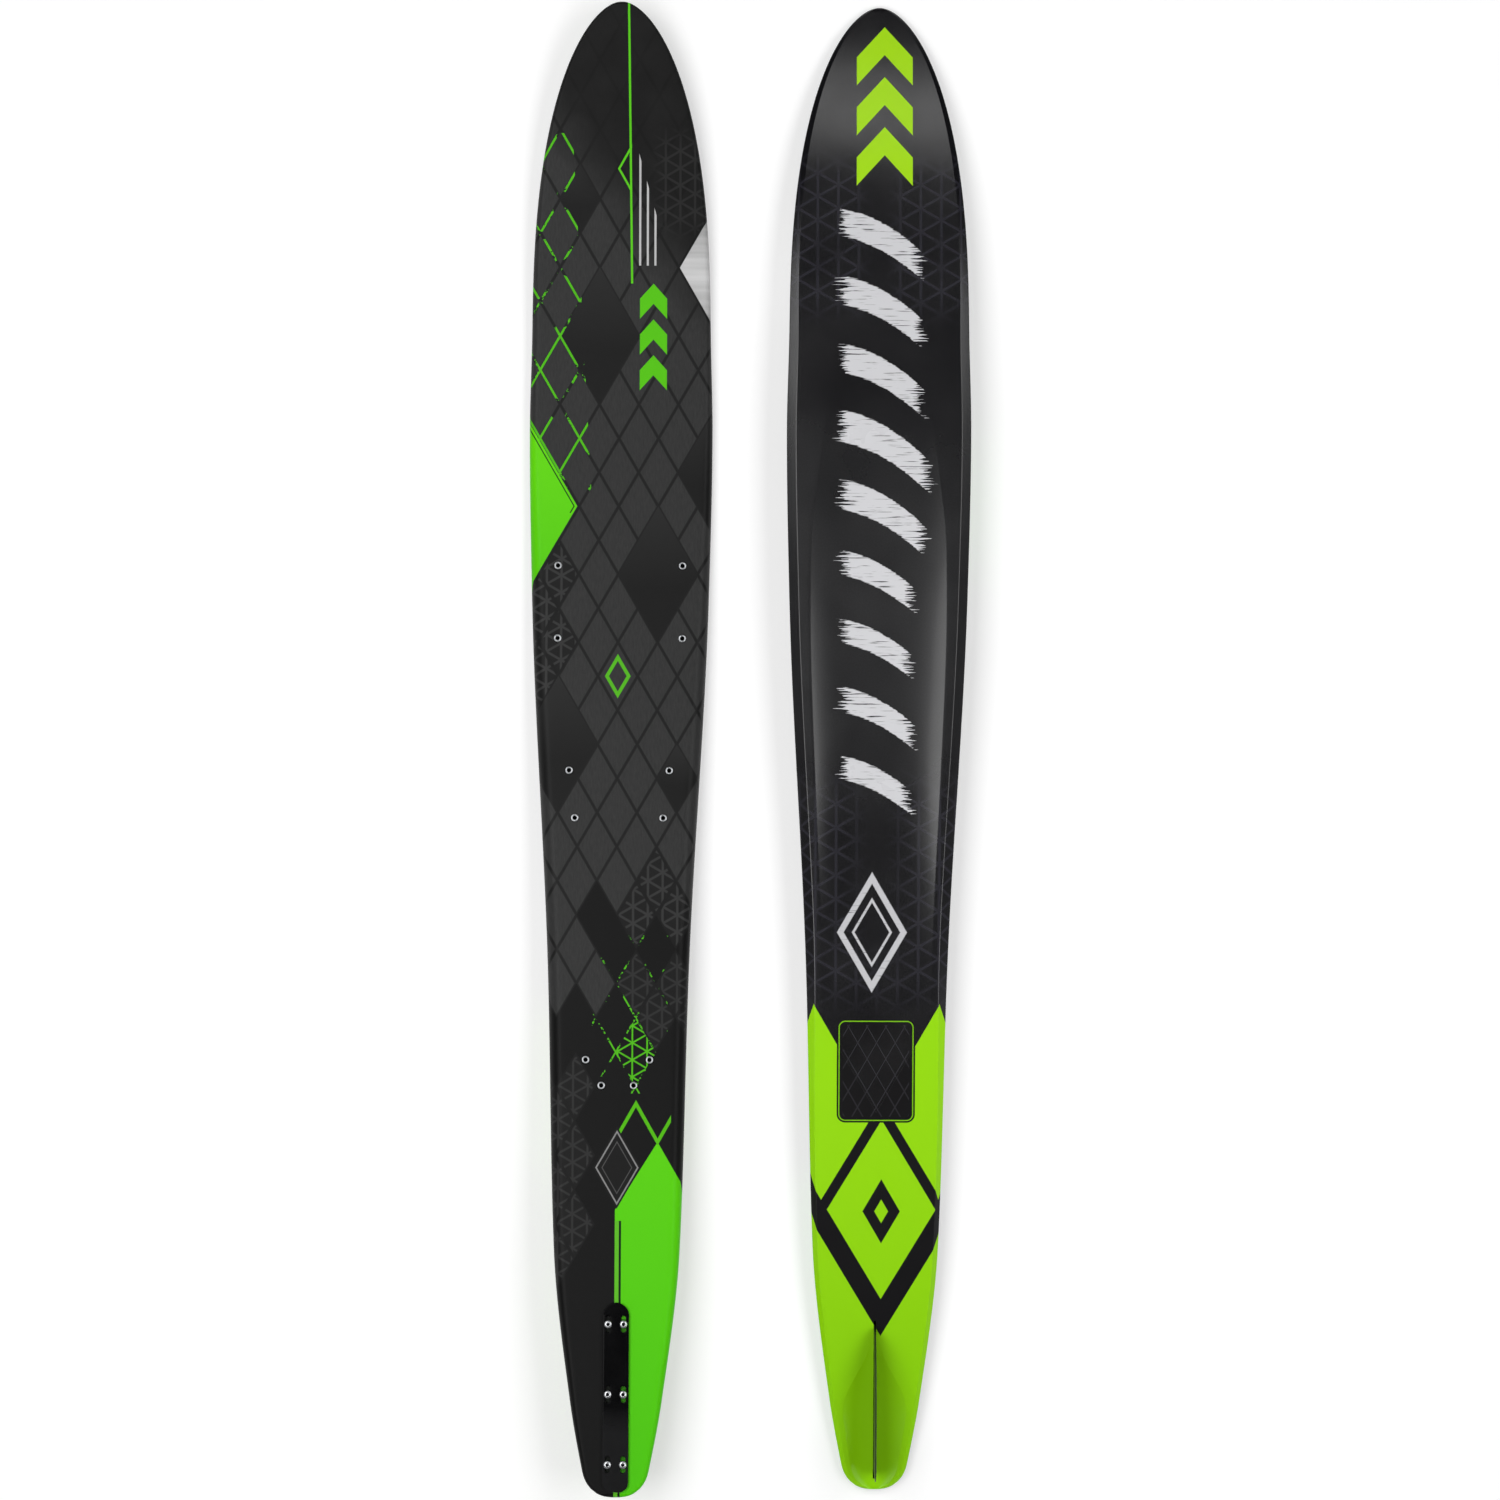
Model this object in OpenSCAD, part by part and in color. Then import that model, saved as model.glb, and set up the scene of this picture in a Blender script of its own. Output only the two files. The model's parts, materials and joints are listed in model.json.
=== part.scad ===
// A pair of slalom water skis lying side by side: the left ski deck up, the right ski base up.
// Each ski is a sandwich of base sheet, laminate, foam core, laminate and deck sheet, whose two sheets
// meet at a seam round the rim and close both ends. Threaded inserts on hard plates in the core take the bindings, and a
// slotted block on the tail holds the fin.
// Every piece is drawn on a level ski first: x across, y from the tail to the tip, z towards the deck.
// The two skis are then laid on the floor, each tilted the way it comes to rest there.

/* [Pair] */
// Distance between the centre lines of the two skis
pair_spacing = 304; // [260:1:400]

/* [Ski outline] */
// Length from tail to tip
ski_length = 1752.6; // [1680:0.2:1850]
// Width of the tail before its corners are rounded off
tail_width = 66; // [60:0.5:76]
// Length of the rounded tail corners
tail_round = 32; // [24:1:44]
// Straight end of the tail
tail_flat = 24; // [16:1:32]
// Width where the tail flares
flare_width = 107; // [96:0.5:118]
// Place of that width, from the tail
flare_at = 110; // [90:1:140]
// Width at the hip
hip_width = 148; // [138:0.5:156]
// Place of the hip, from the tail
hip_at = 290; // [250:1:330]
// Width under the rear foot
rear_width = 166.5; // [158:0.5:176]
// Place of that width, from the tail
rear_at = 620; // [560:1:680]
// Width under the front foot
front_width = 209; // [198:0.5:214]
// Place of that width, from the tail
front_at = 1050; // [990:1:1100]
// Widest place of the ski
widest_width = 216.5; // [212:0.5:230]
// Place of the widest width, from the tail
widest_at = 1250; // [1200:1:1290]
// Width of the nose before it is rounded off
nose_width = 206; // [196:0.5:212]
// Length of the rounded nose
nose_round = 380; // [330:1:440]
// Straight end of the tip
tip_flat = 6; // [4:0.5:12]

/* [Ski thickness and rocker] */
// Thickness of the ski in the middle
middle_thickness = 25; // [22:0.5:30]
// Thickness at the end of the tail
tail_thickness = 10; // [9:0.5:13]
// Thickness at the end of the tip
tip_thickness = 8; // [7:0.5:12]
// Length over which the base sweeps up to the tail
tail_rocker = 600; // [520:5:700]
// Place where the base starts to sweep up to the nose, from the tail
nose_rocker_at = 900; // [840:5:960]
// Height of the base at the tip
nose_rise = 75; // [60:1:90]
// Length of the straight deck, from the tail
deck_straight = 1120; // [1110:1:1180]
// Height of the upright rim between base bevel and deck shoulder
rim_height = 3; // [2.5:0.1:4.5]
// Width of the bevel along the base edge
bevel_width = 11; // [8:0.5:14]
// Share of the side's height that the bevel takes, the shoulder taking the rest
bevel_share = 0.3; // [0.2:0.01:0.4]

/* [Base hollows] */
// Depth of the tunnel under the front foot
tunnel_depth = 5; // [3:0.1:6]
// Share of the running surface that the tunnel takes
tunnel_share = 0.83; // [0.7:0.01:0.88]
// Rear end of the tunnel, from the tail
tunnel_from = 400; // [360:5:460]
// Start of the tunnel's full depth, from the tail
tunnel_full_from = 850; // [760:5:900]
// End of the tunnel's full depth, from the tail
tunnel_full_to = 1040; // [980:5:1100]
// Front end of the tunnel, from the tail
tunnel_to = 1340; // [1260:5:1400]
// Depth of the hollow around the fin
hollow_depth = 2.4; // [1:0.1:2.8]
// Pointed front end of that hollow, from the tail
hollow_to = 178; // [160:1:210]

/* [Layers] */
// Thickness of the printed deck sheet and of the base sheet
sheet = 0.8; // [0.5:0.05:1]
// Thickness of each laminate
laminate = 1; // [0.6:0.05:1.2]
// Thickness of the two sheets where they close the tail and the tip
end_wall = 3; // [2:0.1:4]

/* [Binding inserts] */
// Fore toe row, from the tail
toe_fore_at = 1092; // [1080:1:1100]
// Aft toe row, from the tail
toe_aft_at = 1006; // [980:1:1030]
// Spacing across both toe rows
toe_spacing = 147; // [130:1:152]
// Fore heel row, from the tail
heel_fore_at = 850; // [835:1:880]
// Spacing across the fore heel row
heel_fore_spacing = 118; // [100:1:124]
// Aft heel row, from the tail
heel_aft_at = 794; // [770:1:810]
// Spacing across the aft heel row
heel_aft_spacing = 104; // [90:1:112]
// Fore row of the rear binding, from the tail
rear_fore_at = 510; // [500:1:540]
// Spacing across the fore row of the rear binding
rear_fore_spacing = 75; // [64:1:90]
// Aft row of the rear binding, from the tail
rear_aft_at = 480; // [450:1:486]
// Spacing across the aft row of the rear binding
rear_aft_spacing = 38; // [30:1:50]
// Outer diameter of an insert
insert_outer = 9; // [8:0.1:10.5]
// Diameter of an insert's threaded hole
insert_bore = 5; // [4:0.1:6.4]
// Depth of an insert below the deck
insert_depth = 11; // [9:0.5:12]
// Solid floor under the threaded hole, and of the plate under the insert
insert_floor = 1.5; // [1:0.1:2]
// Hard plate around an insert, beyond the insert's centre
plate_margin = 10; // [8:0.5:12]

/* [Fin block] */
// Length of the block
block_length = 220; // [214:1:240]
// Width of the block
block_width = 30.5; // [28:0.5:36]
// Thickness of the block above the deck
block_thickness = 4.5; // [4:0.1:7]
// Rear end of the block, from the tail
block_at = 7; // [6:0.5:12]
// Radius of the block's rear corners
block_round = 11; // [6:0.5:13]
// How far the block slides each way
block_travel = 6; // [4:0.5:7]
// Rear screws, from the rear end of the block
screw_rear_inset = 32; // [28:1:40]
// Front screws, from the front end of the block
screw_front_inset = 25; // [20:1:32]
// Distance between the two rows of screws
screw_spacing = 18; // [17.6:0.1:19]
// Diameter of a block screw's shank
screw_shank = 4.8; // [4:0.1:5]
// Diameter of a block screw's head
screw_head = 9.3; // [8:0.1:10]
// Height of a block screw's head
screw_head_height = 2.6; // [2:0.1:3.5]
// Width across the corners of a block screw's hexagon socket
screw_socket = 3.5; // [2.5:0.1:4]
// Depth of a block screw's socket
screw_socket_depth = 1.8; // [1:0.1:1.9]
// Outer diameter of a block screw's insert
screw_insert_outer = 7; // [6.4:0.1:7.4]
// Depth of a block screw's insert below the deck
screw_insert_depth = 6; // [5:0.1:6.2]
// Depth of the block's two legs below the deck
leg_depth = 5; // [4:0.1:5.2]
// Thickness of each leg
leg_thickness = 3; // [2.5:0.1:3.2]
// Diameter of the set screws that hold the fin
set_screw = 3; // [2.5:0.1:3.4]

/* [Fin] */
// Length of the fin at the base
fin_length = 175; // [165:1:180]
// Rear edge of the fin, from the tail
fin_at = 20; // [19:0.5:26]
// Depth of the fin below the base
fin_depth = 62; // [55:0.5:70]
// Thickness of the fin
fin_thickness = 2; // [1.5:0.1:2.4]
// Length of the fin's straight bottom edge and rear corner
fin_foot = 70; // [50:1:100]
// Radius of the fin's rear bottom corner
fin_corner = 16; // [8:1:30]
// How far the fin slides each way in the block
fin_travel = 2.5; // [1:0.1:2.5]

/* [Hidden] */
$fn = 48;

// Clearances
fit_gap = 0.05; // around an insert, a screw or a plate in its own hole
slide_gap = 0.1; // between faces that slide on each other
pocket_gap = 0.5; // around the block's legs in the ski
slot_gap = 0.4; // each side of the fin in the ski's slot
screw_slot_gap = 0.35; // each side of a screw in the block's slot
slot_end = 1; // left at each end of a slot at full travel
cut = 1; // how far a cutting shape reaches past the face that it cuts

// Shape exponents of the nose, the tail, the rocker and the hollows
nose_power = 2.5;
nose_root = 1.8;
tail_power = 2.5;
tail_rocker_power = 2;
nose_rocker_power = 2.2;
nose_deck_power = 1.8;
hollow_power = 4;

// Places along a section, as shares of the hollow and as angles round the deck shoulder
hollow_steps = [0, 0.5, 0.8, 1];
shoulder_angles = [0, 35, 65];
// Largest share of a narrow end's half width that the bevel and the shoulder take
bevel_limit = 0.3;
shoulder_limit = 0.45;
// Share of the rim that the four skins take, the core keeping the rest
rim_skin_share = 0.75;
// Largest share of a narrow end's bevel that a sheet takes where it closes round the rim
inset_limit = 0.5;

skin = sheet + laminate;
tail_rise = middle_thickness - tail_thickness;
rim_scale = min(1, rim_skin_share * rim_height / (2 * skin));
deck_top = middle_thickness;
core_top = deck_top - skin;

// Stations from tail to tip, closer together at both rounded ends
tail_steps = 5;
body_steps = 24;
nose_steps = 10;
body_length = ski_length - nose_round - tail_round;
round_stations = concat(
    [for (i = [0 : tail_steps - 1]) tail_round * (1 - cos(90 * i / tail_steps))],
    [for (i = [0 : body_steps - 1]) tail_round + body_length * i / body_steps],
    [for (i = [0 : nose_steps]) ski_length - nose_round * (1 - sin(90 * i / nose_steps))]
);

// The laminates and the core stop short of both ends
station_gap = 0.5; // least distance of a station from the inside of a closed end
tip_wall = ski_length - end_wall;
inner_stations = concat(
    [end_wall],
    [for (s = round_stations) if (s > end_wall + station_gap && s < tip_wall - station_gap) s],
    [tip_wall]
);
stations = concat([0], inner_stations, [ski_length]);

// Smooth curve through [place, value] points, which never overshoots them
function knot(p, s, i = 0) = i >= len(p) - 2 || s < p[i + 1][0] ? i : knot(p, s, i + 1);
function rise_rate(p, i) = (p[i + 1][1] - p[i][1]) / (p[i + 1][0] - p[i][0]);
function mean_rate(a, b) = a * b <= 0 ? 0 : 2 * a * b / (a + b);
function rate_at(p, i) =
    i == 0 ? rise_rate(p, 0)
    : i == len(p) - 1 ? rise_rate(p, i - 1)
    : mean_rate(rise_rate(p, i - 1), rise_rate(p, i));
function curve(p, s) =
    let (i = knot(p, s), step = p[i + 1][0] - p[i][0], t = (s - p[i][0]) / step)
    let (t2 = t * t, t3 = t2 * t)
    p[i][1] * (2 * t3 - 3 * t2 + 1)
    + rate_at(p, i) * step * (t3 - 2 * t2 + t)
    + p[i + 1][1] * (3 * t2 - 2 * t3)
    + rate_at(p, i + 1) * step * (t3 - t2);

// The smaller of two lengths, rounded off where they are alike
function soft_min(a, b) = pow(pow(a, -4) + pow(b, -4), -1 / 4);

// Outline of the ski
plan = [
    [0, tail_width], [flare_at, flare_width], [hip_at, hip_width], [rear_at, rear_width],
    [front_at, front_width], [widest_at, widest_width],
    [ski_length - nose_round, (nose_width + widest_width) / 2], [ski_length, nose_width]
];
function nose_factor(s) =
    let (t = max(0, 1 - (ski_length - s) / nose_round))
    pow(1 - pow(t, nose_power), 1 / nose_root);
function tail_factor(s) =
    let (t = max(0, 1 - s / tail_round))
    pow(1 - pow(t, tail_power), 1 / tail_power);
function end_flat(s) = s < widest_at ? tail_flat : tip_flat;
function half_width(s) = max(end_flat(s), curve(plan, s) * nose_factor(s) * tail_factor(s)) / 2;

// Heights of the base and of the deck along the ski
function base_line(s) =
    tail_rise * pow(max(0, 1 - s / tail_rocker), tail_rocker_power)
    + nose_rise * pow(max(0, (s - nose_rocker_at) / (ski_length - nose_rocker_at)), nose_rocker_power);
function deck_line(s) =
    deck_top + (nose_rise + tip_thickness - middle_thickness)
    * pow(max(0, (s - deck_straight) / (ski_length - deck_straight)), nose_deck_power);

// Sizes of the section along the ski
function side_height(s) = deck_line(s) - base_line(s) - rim_height;
function bevel_height(s) = bevel_share * side_height(s);
function shoulder_height(s) = (1 - bevel_share) * side_height(s);
function bevel_at(s) = soft_min(bevel_width, bevel_limit * half_width(s));
function shoulder_at(s) = soft_min(shoulder_height(s), shoulder_limit * half_width(s));
hollow_widest_at = hollow_to / 2;
hollow_point_share = 0.1; // share of the running surface at the hollow's pointed end
hollow_shares = [
    [0, tunnel_share], [hollow_widest_at, tunnel_share], [hollow_to, hollow_point_share],
    [tunnel_from, tunnel_share], [ski_length, tunnel_share]
];
hollow_depths = [
    [0, hollow_depth], [hollow_widest_at, hollow_depth], [hollow_to, 0], [tunnel_from, 0],
    [tunnel_full_from, tunnel_depth], [tunnel_full_to, tunnel_depth], [tunnel_to, 0], [ski_length, 0]
];
function hollow_half(s) = (half_width(s) - bevel_at(s)) * curve(hollow_shares, s);

// The two sheets close round the rim and meet at a seam in its middle
function seam_height(s) = base_line(s) + bevel_height(s) + rim_height / 2;
function rim_inset(s, depth) = depth == 0 ? 0 : min(sheet, bevel_at(s) * inset_limit);

// Half sections of the base and of the deck, from the middle out, moved into the ski by a depth
function base_half(s, depth) =
    let (w = half_width(s), z = base_line(s), h = hollow_half(s), d = curve(hollow_depths, s))
    concat(
        [for (k = hollow_steps) [h * k, z + depth + d * (1 - pow(k, hollow_power))]],
        [[w - bevel_at(s), z + depth], [w - rim_inset(s, depth), z + bevel_height(s) + depth * rim_scale]]
    );
function deck_half(s, depth) =
    let (w = half_width(s), z = deck_line(s), across = shoulder_at(s), down = shoulder_height(s))
    let (inset = rim_inset(s, depth))
    concat(
        [[0, z - depth]],
        [for (a = shoulder_angles)
            [w - across * (1 - sin(a)) - inset * sin(a), z - depth - down * (1 - cos(a))]],
        [[w - inset, z - down - depth * rim_scale]]
    );
function to_seam(s, half) = concat(half, [[half[len(half) - 1][0], seam_height(s)]]);
function both_halves(half) =
    concat([for (i = [len(half) - 1 : -1 : 1]) [-half[i][0], half[i][1]]], half);
function row(s, half) = [for (p = both_halves(half)) [p[0], s, p[1]]];
function stations_at(depth) = depth == 0 ? stations : inner_stations;
function base_grid(depth) = [for (s = stations_at(depth)) row(s, base_half(s, depth))];
function deck_grid(depth) = [for (s = stations_at(depth)) row(s, deck_half(s, depth))];
function base_sheet_grid(depth) = [for (s = stations_at(depth)) row(s, to_seam(s, base_half(s, depth)))];
function deck_sheet_grid(depth) = [for (s = stations_at(depth)) row(s, to_seam(s, deck_half(s, depth)))];

// Two triangles of a grid's cell seen from above, cut alike on both sides of the middle
function cell(a, b, c, d, first_side) = first_side ? [[a, b, c], [a, c, d]] : [[a, b, d], [b, c, d]];
function grid_faces(rows, count, start) = [
    for (i = [0 : rows - 2]) for (j = [0 : count - 2])
    let (a = start + i * count + j)
    each cell(a, a + count, a + count + 1, a + 1, j < (count - 1) / 2)
];
function reversed(list) = [for (i = [len(list) - 1 : -1 : 0]) list[i]];

// End of a layer between two rows of points: in pairs of triangles where the rows match, or as one face
function end_faces(first, second, first_count, second_count) =
    first_count == second_count
    ? [for (j = [0 : first_count - 2])
        each [[first + j, first + j + 1, second + j + 1], [first + j, second + j + 1, second + j]]]
    : [concat(
        [for (j = [0 : first_count - 1]) first + j],
        [for (j = [second_count - 1 : -1 : 0]) second + j]
    )];

// Solid between a lower and an upper grid that have the same stations
module layer(lower, upper) {
    rows = len(lower);
    low = len(lower[0]);
    up = len(upper[0]);
    top = rows * low;
    last = rows - 1;
    sides = [
        for (i = [0 : last - 1])
        let (l = i * low, u = top + i * up, r = l + low - 1, v = u + up - 1)
        each [[l, l + low, u + up], [l, u + up, u], [r, v, v + up], [r, v + up, r + low]]
    ];
    tail_end = end_faces(top, 0, up, low);
    tip_end = end_faces(last * low, top + last * up, low, up);
    polyhedron(
        points = concat([for (r = lower) each r], [for (r = upper) each r]),
        faces = concat(
            [for (f = grid_faces(rows, low, 0)) reversed(f)],
            grid_faces(rows, up, top),
            sides,
            tail_end,
            tip_end
        )
    );
}

// Solid of a sheet between its outer grid and an inner grid that stops one station short of both ends:
// the two grids, the strips along the seam, and at each end the outside, the seam and the wall to the core
module shell(outer, inner, is_deck) {
    rows = len(outer);
    count = len(outer[0]);
    edge = count - 1;
    inside = rows * count;
    last = (rows - 1) * count;
    inside_last = inside + (rows - 3) * count;
    strips = [
        for (i = [0 : rows - 4])
        let (a = (i + 1) * count, b = inside + i * count, c = a + edge, d = b + edge)
        each [[a, a + count, b + count], [a, b + count, b], [d, d + count, c + count], [d, c + count, c]]
    ];
    tail_end = let (a = 0, b = edge, c = count + edge, d = inside + edge, e = inside, f = count) [
        [for (j = [edge : -1 : 0]) j], [for (j = [0 : edge]) inside + j],
        [a, f, e], [a, e, d], [a, d, b], [b, d, c]
    ];
    tip_end = let (
        a = last, b = last + edge, c = last - 1, d = inside_last + edge, e = inside_last, f = last - count
    ) [
        [for (j = [0 : edge]) last + j], [for (j = [edge : -1 : 0]) inside_last + j],
        [f, a, e], [e, a, b], [e, b, d], [d, b, c]
    ];
    faces = concat(
        [for (f = grid_faces(rows, count, 0)) reversed(f)],
        grid_faces(rows - 2, count, inside),
        strips,
        tail_end,
        tip_end
    );
    polyhedron(
        points = concat([for (r = outer) each r], [for (r = inner) each r]),
        faces = is_deck ? [for (f = faces) reversed(f)] : faces
    );
}

// Places of the inserts and screws on the deck, as [x, y]
function pair_at(y, spacing) = [[-spacing / 2, y], [spacing / 2, y]];
toe_places = concat(pair_at(toe_fore_at, toe_spacing), pair_at(toe_aft_at, toe_spacing));
heel_places = concat(pair_at(heel_fore_at, heel_fore_spacing), pair_at(heel_aft_at, heel_aft_spacing));
rear_places = concat(pair_at(rear_fore_at, rear_fore_spacing), pair_at(rear_aft_at, rear_aft_spacing));
screw_rear = block_at + screw_rear_inset;
screw_front = block_at + block_length - screw_front_inset;
screw_rows = [screw_rear, (screw_rear + screw_front) / 2, screw_front];
screw_places = [for (y = screw_rows) each pair_at(y, screw_spacing)];

// Holes for the binding inserts
insert_hole = insert_outer + 2 * fit_gap;
insert_hole_bottom = deck_top - insert_depth - fit_gap;

// Heights of the block and its screws
block_bottom = deck_top + slide_gap;
block_top = block_bottom + block_thickness;
head_bottom = block_top + slide_gap;
head_top = head_bottom + screw_head_height;

// The fin's slit in the block, its slot through the ski and the pocket for the block's legs
slit_half = fin_thickness / 2 + slide_gap;
slot_half = fin_thickness / 2 + slot_gap;
pocket_half = slit_half + leg_thickness + pocket_gap;
slot_rear = fin_at - block_travel - slot_end;
slot_front = fin_at + fin_length + block_travel + slot_end;
leg_inset = 2;
leg_rear = fin_at + leg_inset;
leg_length = fin_length - 2 * leg_inset;
leg_front = leg_rear + leg_length;
leg_bottom = block_bottom - leg_depth;
pocket_bottom = leg_bottom - pocket_gap;
set_screw_count = 4;
set_screw_places = [for (i = [0.5 : set_screw_count]) leg_rear + leg_length * i / set_screw_count];
set_screw_height = block_bottom - leg_depth / 2;

// Outline of the fin, as [y, z]
fin_tab = 0.5; // how far the fin reaches above the deck at rest
fin_top = deck_top + fin_tab;
slit_top = fin_top + fin_travel + pocket_gap;
fin_front = fin_at + fin_length;
fin_base = base_line(fin_at + fin_length / 2);
fin_bottom = fin_base - fin_depth;
fin_sweep = fin_length - fin_foot;
fin_outline = concat(
    [[fin_at, fin_top], [fin_front, fin_top]],
    [for (a = [0 : 7.5 : 90]) [fin_at + fin_foot + fin_sweep * cos(a), fin_base - fin_depth * sin(a)]],
    [for (a = [0 : 15 : 90])
        [fin_at + fin_corner * (1 - sin(a)), fin_bottom + fin_corner * (1 - cos(a))]]
);

// Slope of the floor under a level ski: the left one stands on its fin and on the base ahead of it,
// the right one on its tip and on the rear screw heads
bisections = 40;
steepest = 0.3;
function lowest(points, slope) = min([for (p = points) p[1] - slope * p[0]]);
function highest(points, slope) = max([for (p = points) p[1] - slope * p[0]]);
base_profile = [for (s = stations) [s, base_line(s)]];
deck_profile = [for (s = stations) [s, deck_line(s)]];
head_profile = [[screw_rear - screw_head / 2, head_top], [screw_front + screw_head / 2, head_top]];
function left_floor(low, high, n) =
    let (m = (low + high) / 2)
    n == 0 ? m
    : lowest(fin_outline, m) < lowest(base_profile, m) ? left_floor(m, high, n - 1)
    : left_floor(low, m, n - 1);
function right_floor(low, high, n) =
    let (m = (low + high) / 2)
    n == 0 ? m
    : highest(head_profile, m) < highest(deck_profile, m) ? right_floor(m, high, n - 1)
    : right_floor(low, m, n - 1);
left_slope = left_floor(0, steepest, bisections);
right_slope = right_floor(0, steepest, bisections);
left_tilt = atan(left_slope);
right_tilt = atan(right_slope);
left_lift = -lowest(concat(fin_outline, base_profile), left_slope) * cos(left_tilt);
right_lift = highest(concat(head_profile, deck_profile), right_slope) * cos(right_tilt);

// Shift along y that centres each tilted ski
rim_points = [
    for (s = [0, ski_length]) each
    [[s, base_line(s)], [s, base_line(s) + bevel_height(s)], [s, deck_line(s)]]
];
left_reach = [for (p = rim_points) p[0] * cos(left_tilt) + p[1] * sin(left_tilt)];
right_reach = [for (p = rim_points) p[0] * cos(right_tilt) + p[1] * sin(right_tilt)];
left_shift = -(min(left_reach) + max(left_reach)) / 2;
right_shift = -(min(right_reach) + max(right_reach)) / 2;

// The left ski lies deck up, the right ski is turned over
module left_ski() {
    translate([-pair_spacing / 2, left_shift, left_lift]) rotate([-left_tilt, 0, 0]) children();
}
module right_ski() {
    translate([pair_spacing / 2, right_shift, right_lift]) rotate([right_tilt, 0, 0]) rotate([0, 180, 0])
        children();
}

// Cutting shapes
module drill(places, diameter, bottom) {
    for (p = places) translate([p[0], p[1], bottom]) cylinder(d = diameter, h = deck_top + cut - bottom);
}
module binding_holes(bottom) {
    drill(concat(toe_places, heel_places, rear_places), insert_hole, bottom);
}
module block_holes(bottom) {
    drill(screw_places, screw_insert_outer + 2 * fit_gap, bottom);
}
module bar(half, rear, front, bottom, top) {
    translate([-half, rear, bottom]) cube([2 * half, front - rear, top - bottom]);
}
module fin_slot() {
    bar(slot_half, slot_rear, slot_front, -cut, deck_top + cut);
}
module leg_pocket() {
    bar(pocket_half, slot_rear, slot_front, pocket_bottom, deck_top + cut);
}

// Outer skins and core
module base_sheet() {
    color("#26262a") difference() {
        shell(base_sheet_grid(0), base_sheet_grid(sheet), false);
        fin_slot();
    }
}
module base_laminate() {
    color("#3a3d33") difference() {
        layer(base_grid(sheet), base_grid(skin));
        fin_slot();
    }
}
module core() {
    color("#d9c79a") difference() {
        layer(base_grid(skin), deck_grid(skin));
        fin_slot();
        leg_pocket();
        front_plate_block(fit_gap, cut);
        rear_plate_block(fit_gap, cut);
        fin_plate_block(fit_gap, cut);
    }
}
module deck_laminate() {
    color("#3a3d33") difference() {
        layer(deck_grid(skin), deck_grid(sheet));
        leg_pocket();
        binding_holes(core_top - cut);
        block_holes(core_top - cut);
    }
}
module deck_sheet() {
    color("#3d3d3d") difference() {
        shell(deck_sheet_grid(0), deck_sheet_grid(sheet), true);
        leg_pocket();
        binding_holes(core_top - cut);
        block_holes(core_top - cut);
    }
}

// Hard plates in the top of the core, under the inserts
plate_bottom = deck_top - insert_depth - insert_floor;
fin_plate_bottom = deck_top - screw_insert_depth - fit_gap;
fin_plate_half = block_width / 2;
module plate_block(rows, bottom, gap, extra) {
    margin = plate_margin + gap;
    last = len(rows) - 1;
    side = concat(
        [[rows[0][1] / 2 + margin, rows[0][0] + margin]],
        [for (r = rows) [r[1] / 2 + margin, r[0]]],
        [[rows[last][1] / 2 + margin, rows[last][0] - margin]]
    );
    translate([0, 0, bottom - gap]) linear_extrude(core_top - bottom + gap + extra)
        polygon(concat(side, [for (p = reversed(side)) [-p[0], p[1]]]));
}
module front_plate_block(gap, extra) {
    rows = [
        [toe_fore_at, toe_spacing], [toe_aft_at, toe_spacing],
        [heel_fore_at, heel_fore_spacing], [heel_aft_at, heel_aft_spacing]
    ];
    plate_block(rows, plate_bottom, gap, extra);
}
module rear_plate_block(gap, extra) {
    rows = [[rear_fore_at, rear_fore_spacing], [rear_aft_at, rear_aft_spacing]];
    plate_block(rows, plate_bottom, gap, extra);
}
module fin_plate_block(gap, extra) {
    rear = screw_rear - plate_margin - gap;
    front = max(screw_front, slot_front) + plate_margin + gap;
    bar(fin_plate_half + gap, rear, front, fin_plate_bottom - gap, core_top + extra);
}
module front_insert_plate() {
    color("#8a6a3c") difference() {
        front_plate_block(0, 0);
        drill(concat(toe_places, heel_places), insert_hole, insert_hole_bottom);
    }
}
module rear_insert_plate() {
    color("#8a6a3c") difference() {
        rear_plate_block(0, 0);
        drill(rear_places, insert_hole, insert_hole_bottom);
    }
}
module fin_insert_plate() {
    color("#8a6a3c") difference() {
        fin_plate_block(0, 0);
        bar(pocket_half, slot_rear, slot_front, fin_plate_bottom - cut, deck_top);
        block_holes(fin_plate_bottom - cut);
    }
}

// Threaded inserts, flush with the deck
module inserts(places, outer, bore, depth, floor_height) {
    for (p = places) translate([p[0], p[1], deck_top - depth]) difference() {
        cylinder(d = outer, h = depth);
        translate([0, 0, floor_height]) cylinder(d = bore, h = depth - floor_height + cut);
    }
}
module toe_inserts() {
    color("#c9ccd0") inserts(toe_places, insert_outer, insert_bore, insert_depth, insert_floor);
}
module heel_inserts() {
    color("#c9ccd0") inserts(heel_places, insert_outer, insert_bore, insert_depth, insert_floor);
}
module rear_inserts() {
    color("#c9ccd0") inserts(rear_places, insert_outer, insert_bore, insert_depth, insert_floor);
}
module fin_block_inserts() {
    color("#b08d4a")
        inserts(screw_places, screw_insert_outer, screw_shank + 2 * fit_gap, screw_insert_depth, -cut);
}

// Screws that clamp the block to the tail
module fin_block_screws() {
    shank_bottom = deck_top - screw_insert_depth + fit_gap;
    color("#d5d7da") for (p = screw_places) translate([p[0], p[1], 0]) difference() {
        union() {
            translate([0, 0, head_bottom]) cylinder(d = screw_head, h = screw_head_height);
            translate([0, 0, shank_bottom]) cylinder(d = screw_shank, h = head_bottom - shank_bottom + cut);
        }
        translate([0, 0, head_top - screw_socket_depth])
            cylinder(d = screw_socket, h = screw_socket_depth + cut, $fn = 6);
    }
}

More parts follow.
